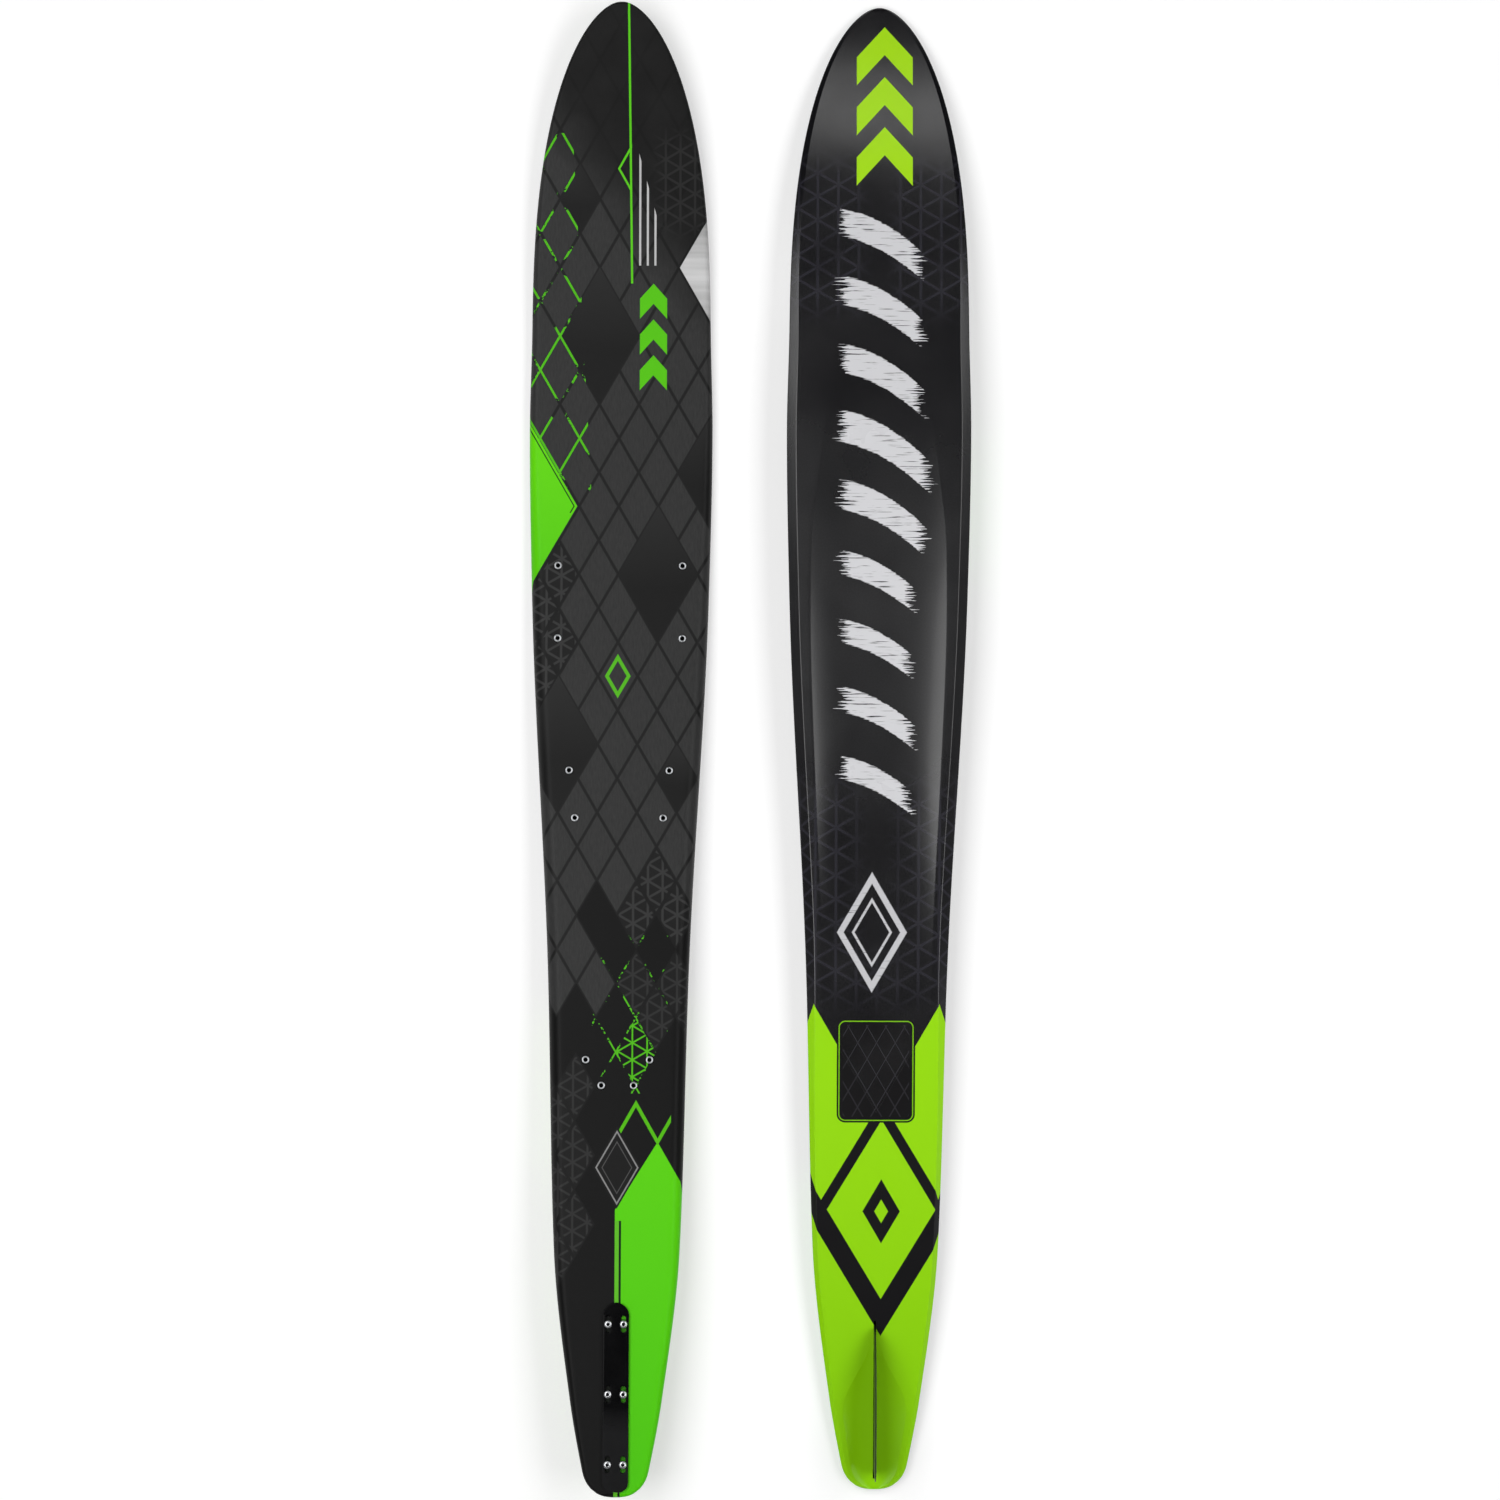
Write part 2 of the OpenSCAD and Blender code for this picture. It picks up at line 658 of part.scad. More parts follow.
// Block with six slots, and two legs that grip the fin
module block_outline() {
    nose = block_width / 2;
    corner = nose - block_round;
    translate([0, block_at + block_length - nose]) circle(nose);
    translate([-nose, block_at + block_round]) square([block_width, block_length - block_round - nose]);
    for (x = [-corner, corner]) translate([x, block_at + block_round]) circle(block_round);
    translate([-corner, block_at]) square([2 * corner, block_length / 2]);
}
module screw_slot(width) {
    reach = block_travel + slot_end;
    translate([0, 0, block_bottom - cut]) {
        for (y = [-reach, reach]) translate([0, y, 0]) cylinder(d = width, h = block_thickness + 2 * cut);
        translate([-width / 2, -reach, 0]) cube([width, 2 * reach, block_thickness + 2 * cut]);
    }
}
module set_screw_rods(diameter, length) {
    for (y = set_screw_places) translate([slit_half, y, set_screw_height]) rotate([0, 90, 0])
        cylinder(d = diameter, h = length);
}
screw_slot_width = screw_shank + 2 * screw_slot_gap;
module fin_block() {
    grip_half = slit_half + leg_thickness;
    color("#121214") difference() {
        union() {
            translate([0, 0, block_bottom]) linear_extrude(block_thickness) block_outline();
            bar(grip_half, leg_rear, leg_front, leg_bottom, block_bottom + slide_gap);
        }
        bar(slit_half, fin_at - slide_gap, fin_front + slide_gap, leg_bottom - cut, slit_top);
        for (p = screw_places) translate([p[0], p[1], 0]) screw_slot(screw_slot_width);
        set_screw_rods(set_screw + 2 * fit_gap, leg_thickness + cut);
    }
}
module fin_set_screws() {
    socket = set_screw / 2;
    color("#3c3e42") difference() {
        set_screw_rods(set_screw, leg_thickness);
        for (y = set_screw_places) translate([slit_half + leg_thickness / 2, y, set_screw_height])
            rotate([0, 90, 0]) cylinder(d = socket, h = leg_thickness, $fn = 6);
    }
}

// Fin blade with its tab in the block's slit
module fin() {
    color("#17181b") translate([fin_thickness / 2, 0, 0]) rotate([90, 0, -90])
        mirror([1, 0, 0]) linear_extrude(fin_thickness) polygon(fin_outline);
}

left_ski() base_sheet();  // left_base_sheet
left_ski() base_laminate();  // left_base_laminate
left_ski() core();  // left_core
left_ski() deck_laminate();  // left_deck_laminate
left_ski() deck_sheet();  // left_deck_sheet
left_ski() front_insert_plate();  // left_front_insert_plate
left_ski() rear_insert_plate();  // left_rear_insert_plate
left_ski() fin_insert_plate();  // left_fin_insert_plate
left_ski() toe_inserts();  // left_toe_inserts
left_ski() heel_inserts();  // left_heel_inserts
left_ski() rear_inserts();  // left_rear_inserts
left_ski() fin_block_inserts();  // left_fin_block_inserts
left_ski() fin_block_screws();  // left_fin_block_screws
left_ski() fin_block();  // left_fin_block
left_ski() fin_set_screws();  // left_fin_set_screws
left_ski() fin();  // left_fin
right_ski() base_sheet();  // right_base_sheet
right_ski() base_laminate();  // right_base_laminate
right_ski() core();  // right_core
right_ski() deck_laminate();  // right_deck_laminate
right_ski() deck_sheet();  // right_deck_sheet
right_ski() front_insert_plate();  // right_front_insert_plate
right_ski() rear_insert_plate();  // right_rear_insert_plate
right_ski() fin_insert_plate();  // right_fin_insert_plate
right_ski() toe_inserts();  // right_toe_inserts
right_ski() heel_inserts();  // right_heel_inserts
right_ski() rear_inserts();  // right_rear_inserts
right_ski() fin_block_inserts();  // right_fin_block_inserts
right_ski() fin_block_screws();  // right_fin_block_screws
right_ski() fin_block();  // right_fin_block
right_ski() fin_set_screws();  // right_fin_set_screws
right_ski() fin();  // right_fin
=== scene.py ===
import json
import math

import bmesh
import bpy
import numpy as np
from mathutils import Matrix, Vector


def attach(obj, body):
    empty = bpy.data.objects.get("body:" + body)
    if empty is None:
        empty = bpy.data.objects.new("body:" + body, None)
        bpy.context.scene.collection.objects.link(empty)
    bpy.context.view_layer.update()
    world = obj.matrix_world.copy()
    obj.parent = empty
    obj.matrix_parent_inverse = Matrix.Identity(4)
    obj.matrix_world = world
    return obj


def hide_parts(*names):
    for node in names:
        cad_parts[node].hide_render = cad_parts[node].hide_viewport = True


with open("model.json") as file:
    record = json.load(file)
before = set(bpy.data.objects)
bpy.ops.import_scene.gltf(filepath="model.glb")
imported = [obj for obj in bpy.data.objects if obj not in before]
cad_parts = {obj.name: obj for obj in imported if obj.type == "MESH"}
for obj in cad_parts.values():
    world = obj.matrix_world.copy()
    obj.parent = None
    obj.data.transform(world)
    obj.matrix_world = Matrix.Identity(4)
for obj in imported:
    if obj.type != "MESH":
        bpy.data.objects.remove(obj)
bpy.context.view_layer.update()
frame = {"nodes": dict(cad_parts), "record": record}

# A pair of slalom water skis: the left one lies deck up, the right one base up.
# Shapes are worked out in millimetres on a level ski: x across, y or s along from the tail, z up to the deck.
MM = 0.001

# Plan of a ski: width at places along it, and the length and powers that round off each end
LENGTH = 1752.6
WIDEST_AT = 1250
WIDEST = 216.5
NOSE_WIDTH = 206
NOSE_ROUND = 380
NOSE_POWERS = (2.5, 1 / 1.8)
TAIL_ROUND = 32
TAIL_POWERS = (2.5, 1 / 2.5)
TAIL_FLAT = 8
TIP_FLAT = 6
PLAN = [
    (0, 66), (110, 107), (290, 148), (620, 166.5), (1050, 209), (WIDEST_AT, WIDEST),
    (LENGTH - NOSE_ROUND, (NOSE_WIDTH + WIDEST) / 2), (LENGTH, NOSE_WIDTH),
]

# Side view: the level deck, the tail's and the nose's rise
DECK_HEIGHT = 25
TAIL_LIFT = 15
TAIL_ROCKER = 600
NOSE_RISE = 75
NOSE_ROCKER_AT = 900
NOSE_ROCKER_POWER = 2.2
DECK_RISE = 58
DECK_STRAIGHT = 1120
DECK_RISE_POWER = 1.8

# Section: rim, edge bevel, deck shoulder, hollows in the base
RIM_HEIGHT = 3
BEVEL_WIDTHS = [(0, 5), (430, 6.5), (700, 11), (1300, 11), (1600, 6.5), (LENGTH, 4)]
BEVEL_SHARE = 0.3
BEVEL_LIMIT = 0.3
BREAK_ROUND = 0.9
RAIL_ROUNDS = [(0, 0.35), (500, 0.4), (640, 0.8), (1200, 0.8), (1400, 0.35), (LENGTH, 0.35)]
RAIL_LIMIT = 0.2
RAIL_FLAT = 0.3
SHOULDER_LIMIT = 0.45
SHOULDER_TURN = 6
HOLLOW_SHARES = [
    (0, 0.83), (89, 0.83), (178, 0.1), (400, 0.83), (700, 0.89), (870, 0.88), (1000, 0.87), (1110, 0.84),
    (1225, 0.7), (1340, 0.55), (LENGTH, 0.5),
]
HOLLOW_DEPTHS = [
    (0, 2.4), (89, 2.4), (178, 0), (480, 0), (620, 0.9), (760, 3.4), (900, 5.2), (1000, 5), (1110, 3.1),
    (1230, 0.9), (1340, 0), (LENGTH, 0),
]
HOLLOW_POWER = 3.4
SKIN = 0.8
WEAVE = 1
THIN_LIMIT = 2.5
SEAM_GROOVE = 0.25
TAIL_EDGE = 5
TIP_EDGE = 4

# Points of the skins: rows along the ski, and shares and angles across it
END_ROWS = 9
HIP_FRONT = 120
HIP_ROWS = 24
BODY_ROWS = 90
NOSE_ROWS = 60
DECK_POINTS = (0, 0.2, 0.4, 0.6, 0.8, 0.94, 1)
SHOULDER_ANGLES = np.arange(9, 91, 9)
HOLLOW_POINTS = (0, 0.15, 0.3, 0.42, 0.54, 0.64, 0.73, 0.81, 0.88, 0.94, 0.985, 1)
CORNER_STEPS = 4
ROUND_STEPS = 40
SCREW_STEPS = 48
EDGE_STEPS = 3
SAME_POINT = 0.001

# Binding inserts: place along the ski and spacing across of each row of two
INSERT_ROWS = {
    "toe_inserts": [(1092, 147), (1006, 147)],
    "heel_inserts": [(850, 118), (794, 104)],
    "rear_inserts": [(510, 75), (480, 38)],
}
INSERT_OUTER = 9
INSERT_BORE = 5
INSERT_DEPTH = 11
INSERT_FLOOR = 0.8
INSERT_CROWN = 0.5
THREAD_PITCH = 1
THREAD_DEPTH = 0.35
THREAD_TOP = 0.9
THREAD_REST = 2.5
THREAD_FLANK = 0.45

# Fin block with its screws, and the fin
BLOCK_REAR = 7
BLOCK_LENGTH = 220
BLOCK_WIDTH = 30.5
BLOCK_BOTTOM = 25.1
BLOCK_TOP = 29.6
BLOCK_ROUND = 11
BLOCK_EDGE = 0.9
SCREW_ROWS = [39, 120.5, 202]
SCREW_SPACING = 18
SCREW_SLOT = 5.5
SCREW_SLOT_REACH = 7
SHANK = 4.8
SHANK_CHAMFER = 0.6
SHANK_GAP = 0.6
HEAD = 9.3
HEAD_BOTTOM = 29.7
HEAD_TOP = 32.3
HEAD_DOME = 2.1
HEAD_CHAMFER = 0.2
SOCKET = 3.5
SOCKET_DEPTH = 1.8
SOCKET_LIP = 0.6
SOCKET_RINGS = [(1.12, 0.05), (1, 0.3), (1, SOCKET_DEPTH)]
SCREW_INSERT_OUTER = 7
SCREW_INSERT_DEPTH = 6
LEG = (22, 193)
LEG_BOTTOM = 20.1
LEG_HALF = 4.1
SLIT_HALF = 1.1
SLIT_TOP = 28.5
SET_SCREWS = 4
SET_SCREW_HOLE = 3.1
POCKET_HALF = 4.6
SLOT_HALF = 1.4
POCKET = (13, 202)
FIN_REAR = 20
FIN_FRONT = 195
FIN_TOP = 25.5
FIN_BASE = 10.1
FIN_DEPTH = 62
FIN_FOOT = 70
FIN_CORNER = 16
FIN_THICKNESS = 2
FIN_BEVEL = 6
FIN_EDGE = 0.5
FIN_GAP = 0.1


def curve(points, s):
    """A smooth curve through (place, value) points that never overshoots them."""
    place, value = np.array(points, float).T
    rate = np.diff(value) / np.diff(place)
    product = rate[:-1] * rate[1:]
    total = rate[:-1] + rate[1:]
    inner = np.where(product > 0, 2 * product / np.where(total == 0, 1, total), 0)
    slope = np.concatenate((rate[:1], inner, rate[-1:]))
    i = np.clip(np.searchsorted(place, s, side="right") - 1, 0, len(rate) - 1)
    step = place[i + 1] - place[i]
    t = (s - place[i]) / step
    start = value[i] * (2 * t**3 - 3 * t**2 + 1) + slope[i] * step * (t**3 - 2 * t**2 + t)
    end = value[i + 1] * (3 * t**2 - 2 * t**3) + slope[i + 1] * step * (t**3 - t**2)
    return start + end


def half_width(s):
    """Half the ski's width, rounded off at the nose and the tail."""
    width = curve(PLAN, s)
    for gap, reach, (inner, outer) in ((LENGTH - s, NOSE_ROUND, NOSE_POWERS), (s, TAIL_ROUND, TAIL_POWERS)):
        width = width * (1 - np.clip(1 - gap / reach, 0, 1) ** inner) ** outer
    return np.maximum(np.where(s < WIDEST_AT, TAIL_FLAT, TIP_FLAT), width) / 2


def base_line(s):
    """Height of the base along the ski."""
    tail = np.clip(1 - s / TAIL_ROCKER, 0, None)
    nose = np.clip((s - NOSE_ROCKER_AT) / (LENGTH - NOSE_ROCKER_AT), 0, None)
    return TAIL_LIFT * tail**2 + NOSE_RISE * nose**NOSE_ROCKER_POWER


def deck_line(s):
    """Height of the deck along the ski."""
    nose = np.clip((s - DECK_STRAIGHT) / (LENGTH - DECK_STRAIGHT), 0, None)
    return DECK_HEIGHT + DECK_RISE * nose**DECK_RISE_POWER


def soft_min(a, b):
    """The smaller of two sizes, with a soft change from one to the other."""
    return (a**-4.0 + b**-4.0) ** -0.25


def side_height(s):
    return deck_line(s) - base_line(s) - RIM_HEIGHT


def bevel_height(s):
    return BEVEL_SHARE * side_height(s)


def bevel_reach(s):
    return soft_min(curve(BEVEL_WIDTHS, s), BEVEL_LIMIT * half_width(s))


def seam_line(s):
    """Height at which the deck skin and the base skin meet on the rim."""
    return base_line(s) + bevel_height(s) + RIM_HEIGHT / 2


def hollow_half(s):
    return (half_width(s) - bevel_reach(s)) * curve(HOLLOW_SHARES, s)


def stations():
    """Places along the ski for the rows of points, closest at both ends."""
    quarter = np.linspace(0, math.pi / 2, END_ROWS)
    tail = TAIL_EDGE * (1 - np.cos(quarter))
    hip = np.linspace(TAIL_EDGE, HIP_FRONT, HIP_ROWS)[1:]
    body = np.linspace(HIP_FRONT, LENGTH - NOSE_ROUND, BODY_ROWS)[1:]
    turn = np.linspace(0, math.asin(1 - TIP_EDGE / NOSE_ROUND), NOSE_ROWS)[1:]
    nose = LENGTH - NOSE_ROUND * (1 - np.sin(turn))
    tip = LENGTH - TIP_EDGE * (1 - np.sin(quarter))[1:]
    return np.concatenate((tail, hip, body, nose, tip))


def corner(before, at, after, size):
    """Points that round a corner of a section over the given size."""
    to_before = (before - at) / np.linalg.norm(before - at, axis=-1, keepdims=True)
    to_after = (after - at) / np.linalg.norm(after - at, axis=-1, keepdims=True)
    first = at + to_before * size
    last = at + to_after * size
    rounds = []
    for t in np.linspace(0, 1, CORNER_STEPS):
        rounds.append(first * (1 - t) ** 2 + at * 2 * t * (1 - t) + last * t**2)
    return rounds


def points_of(x, z):
    return np.stack((x, z), axis=-1)


def deck_half(s):
    """Half a section of the deck from the centre line over the shoulder to the seam, for every row."""
    w = half_width(s)
    down = (1 - BEVEL_SHARE) * side_height(s)
    across = soft_min(down, SHOULDER_LIMIT * w)
    deck = deck_line(s)
    seam = seam_line(s)
    half = [points_of((w - across) * share, deck) for share in DECK_POINTS]
    for turn in np.radians(SHOULDER_ANGLES):
        half.append(points_of(w - across * (1 - np.sin(turn)), deck - down * (1 - np.cos(turn))))
    half.append(points_of(w, seam + SEAM_GROOVE))
    half.append(points_of(w - SEAM_GROOVE, seam))
    return np.stack(half, axis=1)


def base_half(s):
    """Half a section of the base from the centre line over hollow, rail and bevel to the seam."""
    w = half_width(s)
    bevel = bevel_reach(s)
    base = base_line(s)
    seam = seam_line(s)
    hollow = hollow_half(s)
    depth = curve(HOLLOW_DEPTHS, s)
    half = []
    for share in HOLLOW_POINTS:
        half.append(points_of(hollow * share, base + depth * (1 - share**HOLLOW_POWER)))
    rail = points_of(w - bevel, base)
    break_line = points_of(w, base + bevel_height(s))
    rail_round = np.minimum(curve(RAIL_ROUNDS, s), bevel * RAIL_LIMIT)[:, None]
    half.append(points_of(hollow + RAIL_FLAT * (w - bevel - hollow), base))
    half.extend(corner(half[-1], rail, break_line, rail_round))
    half.extend(corner(rail, break_line, points_of(w, seam), BREAK_ROUND))
    half.append(points_of(w, seam - SEAM_GROOVE))
    half.append(points_of(w - SEAM_GROOVE, seam))
    return np.stack(half, axis=1)


def layer_mesh(half_section, depth, thickness):
    """A closed thin layer of the ski: outer and inner surface, and the strip between them at the seam."""
    s = stations()
    half = half_section(s)
    both = np.concatenate((half[:, :0:-1] * (-1, 1), half), axis=1)
    seam = seam_line(s)[:, None]
    tail = np.clip(1 - s / TAIL_EDGE, 0, 1)
    tip = np.clip(1 - (LENGTH - s) / TIP_EDGE, 0, 1)
    closing = (np.sqrt(1 - tail**2) * np.sqrt(1 - tip**2))[:, None]
    height = (both[:, :, 1] - seam) * closing
    reach = np.abs(height).max(axis=1, keepdims=True)
    surfaces = []
    for inset in (depth, depth + thickness):
        thinner = 1 - inset / np.maximum(reach, THIN_LIMIT * max(inset, SKIN))
        narrower = 1 - inset / half_width(s)[:, None]
        along = np.broadcast_to((inset + s * (1 - 2 * inset / LENGTH))[:, None], height.shape)
        surfaces.append(np.stack((both[:, :, 0] * narrower, along, seam + height * thinner), axis=-1))
    count = height.size
    place = np.arange(count).reshape(height.shape)
    quads = np.stack((place[:-1, :-1], place[:-1, 1:], place[1:, 1:], place[1:, :-1]), axis=-1).reshape(-1, 4)
    faces = quads.tolist() + (quads[:, ::-1] + count).tolist()
    rim = [*place[0], *place[1:, -1], *place[-1, -2::-1], *place[-2:0:-1, 0]]
    for a, b in zip(rim, rim[1:] + rim[:1]):
        faces.append((int(b), int(a), int(a) + count, int(b) + count))
    return new_mesh(np.concatenate(surfaces).reshape(-1, 3), faces)


def new_mesh(points, faces):
    mesh = bpy.data.meshes.new("shape")
    mesh.from_pydata(points.tolist(), [], faces)
    return tidy(mesh)


def tidy(mesh, merge=0.0):
    """Points the faces outward, after joining points closer than the merge distance."""
    bm = bmesh.new()
    bm.from_mesh(mesh)
    if merge:
        bmesh.ops.remove_doubles(bm, verts=bm.verts, dist=merge)
    bmesh.ops.recalc_face_normals(bm, faces=bm.faces)
    bm.to_mesh(mesh)
    bm.free()
    return mesh


def new_object(name, data):
    """An object in the scene."""
    item = bpy.data.objects.new(name, data)
    bpy.context.scene.collection.objects.link(item)
    return item


def made_mesh(item):
    """The mesh of an object after its modifiers, or of a filled curve."""
    return bpy.data.meshes.new_from_object(item.evaluated_get(bpy.context.evaluated_depsgraph_get()))


def drills(places, diameter, bottom, top):
    """Round cutters at places (x, y), as (shape, matrix) pairs for a cut."""
    size = (diameter, diameter, top - bottom)
    return [("round", Matrix.LocRotScale((x, y, (bottom + top) / 2), None, size)) for x, y in places]


def bar(half, rear, front, bottom, top):
    """A box cutter on the centre line."""
    middle = (0, (rear + front) / 2, (bottom + top) / 2)
    return ("box", Matrix.LocRotScale(middle, None, (2 * half, front - rear, top - bottom)))


def cut(mesh, cutters, operation="DIFFERENCE"):
    """Cuts holes and slots out of a mesh, or joins the shapes to it."""
    bm = bmesh.new()
    for shape, matrix in cutters:
        if shape == "round":
            bmesh.ops.create_cone(
                bm, cap_ends=True, segments=ROUND_STEPS, radius1=0.5, radius2=0.5, depth=1, matrix=matrix
            )
        else:
            bmesh.ops.create_cube(bm, size=1, matrix=matrix)
    tool_mesh = bpy.data.meshes.new("tool")
    bm.to_mesh(tool_mesh)
    bm.free()
    tool = new_object("tool", tool_mesh)
    blank = new_object("blank", mesh)
    boolean = blank.modifiers.new("cut", "BOOLEAN")
    boolean.operation = operation
    boolean.solver = "EXACT"
    boolean.object = tool
    result = made_mesh(blank)
    for item, data in ((tool, tool_mesh), (blank, mesh)):
        bpy.data.objects.remove(item)
        bpy.data.meshes.remove(data)
    return result


def turned(profile, steps):
    """Rings of points about the z axis from (radius, height) pairs."""
    turn = np.linspace(0, 2 * math.pi, steps, endpoint=False)
    return [np.stack((r * np.cos(turn), r * np.sin(turn), np.full(steps, z)), axis=-1) for r, z in profile]


def stack_rings(rings):
    """A closed shape from rings of points, the first and the last ring filled."""
    count = len(rings[0])
    last = (len(rings) - 1) * count
    faces = [list(range(count))[::-1], list(range(last, last + count))]
    for low in range(0, last, count):
        for j in range(count):
            k = (j + 1) % count
            faces.append((low + j, low + k, low + count + k, low + count + j))
    return new_mesh(np.concatenate(rings), faces)


def repeat(mesh, places):
    """Turns a mesh into copies of itself at places (x, y, z)."""
    bm = bmesh.new()
    for place in places:
        start = len(bm.verts)
        bm.from_mesh(mesh)
        bm.verts.ensure_lookup_table()
        bmesh.ops.translate(bm, vec=place, verts=bm.verts[start:])
    bm.to_mesh(mesh)
    bm.free()


def arc(x, y, radius, start, end, steps=12):
    """Points (x, y) along an arc, angles in degrees."""
    turn = np.radians(np.linspace(start, end, steps + 1))
    return [(x + radius * math.cos(t), y + radius * math.sin(t)) for t in turn]


def plate(outlines, bottom, top, edge):
    """A flat plate with holes, every edge rounded over."""
    shape = bpy.data.curves.new("plate", "CURVE")
    shape.dimensions = "2D"
    shape.fill_mode = "BOTH"
    shape.extrude = (top - bottom) / 2 - edge
    shape.bevel_depth = edge
    shape.bevel_resolution = EDGE_STEPS
    shape.offset = -edge
    for outline in outlines:
        spline = shape.splines.new("POLY")
        spline.points.add(len(outline) - 1)
        for point, (x, y) in zip(spline.points, outline):
            point.co = (x, y, 0, 1)
        spline.use_cyclic_u = True
    item = new_object("plate", shape)
    mesh = made_mesh(item)
    bpy.data.objects.remove(item)
    bpy.data.curves.remove(shape)
    mesh.transform(Matrix.Translation((0, 0, (bottom + top) / 2)))
    return tidy(mesh, merge=SAME_POINT)


def ski_frame(side):
    """Where a level ski in millimetres lies in the frame, from two of its insert rows."""
    rows = {mount["name"]: mount for mount in frame["record"]["mounts"]}
    fore = Vector(rows[side + "_toe_fore_row"]["pos_m"])
    aft = Vector(rows[side + "_rear_aft_row"]["pos_m"])
    up = Vector(rows[side + "_toe_fore_row"]["axis"]).normalized()
    along = (fore - aft).normalized()
    across = along.cross(up)
    place = fore - along * INSERT_ROWS["toe_inserts"][0][0] * MM - up * DECK_HEIGHT * MM
    turn = Matrix((across, along, up)).transposed().to_4x4()
    return Matrix.Translation(place) @ turn @ Matrix.Scale(MM, 4)


def add_piece(side, name, mesh, body, node, material, sharp=35):
    """Puts a mesh made on a level ski in its place on one side, as a piece that rides on a body."""
    name, body, node = (side + "_" + word for word in (name, body, node))
    mesh.name = name
    mesh.transform(ski_frame(side))
    mesh.shade_smooth()
    mesh.set_sharp_from_angle(angle=math.radians(sharp))
    mesh.materials.clear()
    mesh.materials.append(material)
    piece = new_object(name, mesh)
    flat_faces = piece.modifiers.new("flat_faces", "WEIGHTED_NORMAL")
    flat_faces.keep_sharp = True
    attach(piece, body)
    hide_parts(node)


def joined(operation):
    """A method that joins a field to other values, one after another, by math nodes."""
    def method(field, *others):
        for other in others:
            field = field.op(operation, other)
        return field

    return method


class Field:
    """A number that varies over a surface, with arithmetic that adds math nodes to its material."""

    __add__ = __radd__ = joined("ADD")
    __mul__ = __rmul__ = joined("MULTIPLY")
    __sub__ = joined("SUBTRACT")
    under = joined("LESS_THAN")
    over = joined("GREATER_THAN")
    least = joined("MINIMUM")
    most = joined("MAXIMUM")

    def __init__(self, socket):
        self.socket = socket
        self.tree = socket.id_data

    def op(self, operation, *others, clamp=False):
        node = self.tree.nodes.new("ShaderNodeMath")
        node.operation = operation
        node.use_clamp = clamp
        for entry, value in zip(node.inputs, (self, *others)):
            feed(entry, value)
        return Field(node.outputs[0])

    def __rsub__(self, other):
        return self.op("MULTIPLY_ADD", -1, other)

    def __abs__(self):
        return self.op("ABSOLUTE")

    def between(self, low, high):
        """Distance into a range, negative outside it."""
        return (self - low).least(high - self)

    def near(self, place, half):
        """Distance into a band round a place, negative outside it."""
        return half - abs(self - place)

    def to_line(self, step):
        """Distance to the nearest of evenly spaced lines."""
        return (self * (1 / step)).op("PINGPONG", 0.5) * step

    def ramp(self, start, end):
        """0 at start, 1 at end, limited to that range."""
        scale = 1 / (end - start)
        return self.op("MULTIPLY_ADD", scale, -start * scale, clamp=True)

    def ink(self, soft=0.3):
        """Covers what lies on the positive side of an edge given in millimetres."""
        return self.ramp(-soft, soft)


def feed(entry, value):
    """Links a field or a socket to a node's input, or sets a constant there."""
    if isinstance(value, Field):
        value = value.socket
    if isinstance(value, bpy.types.NodeSocket):
        entry.id_data.links.new(value, entry)
    else:
        entry.default_value = value


def colour(code):
    """A colour for a shader from its usual hex code."""
    parts = [int(code[i:i + 2], 16) / 255 for i in (1, 3, 5)]
    linear = [p / 12.92 if p <= 0.04045 else ((p + 0.055) / 1.055) ** 2.4 for p in parts]
    return (*linear, 1)


def paint(under, mask, over):
    """Lays one colour over another where the mask says."""
    node = mask.tree.nodes.new("ShaderNodeMix")
    node.data_type = "RGBA"
    for entry, value in ((0, mask), (6, under), (7, over)):
        feed(node.inputs[entry], colour(value) if isinstance(value, str) else value)
    return node.outputs[2]


def noise(place, scale, detail=2, stretch=None):
    """Soft noise around 0.5, with features of about 1 / scale."""
    if stretch:
        place = scaled(place, *stretch)
    node = place.id_data.nodes.new("ShaderNodeTexNoise")
    node.inputs["Scale"].default_value = scale
    node.inputs["Detail"].default_value = detail
    feed(node.inputs["Vector"], place)
    return Field(node.outputs["Fac"])


def scaled(place, scale, turn):
    """Coordinates stretched by a scale, after a turn about z in degrees."""
    node = place.id_data.nodes.new("ShaderNodeMapping")
    node.inputs["Rotation"].default_value = (0, 0, math.radians(turn))
    node.inputs["Scale"].default_value = scale
    feed(node.inputs["Vector"], place)
    return node.outputs["Vector"]


def xyz(place):
    """The three parts of a place, as fields."""
    node = place.id_data.nodes.new("ShaderNodeSeparateXYZ")
    feed(node.inputs[0], place)
    return [Field(part) for part in node.outputs]


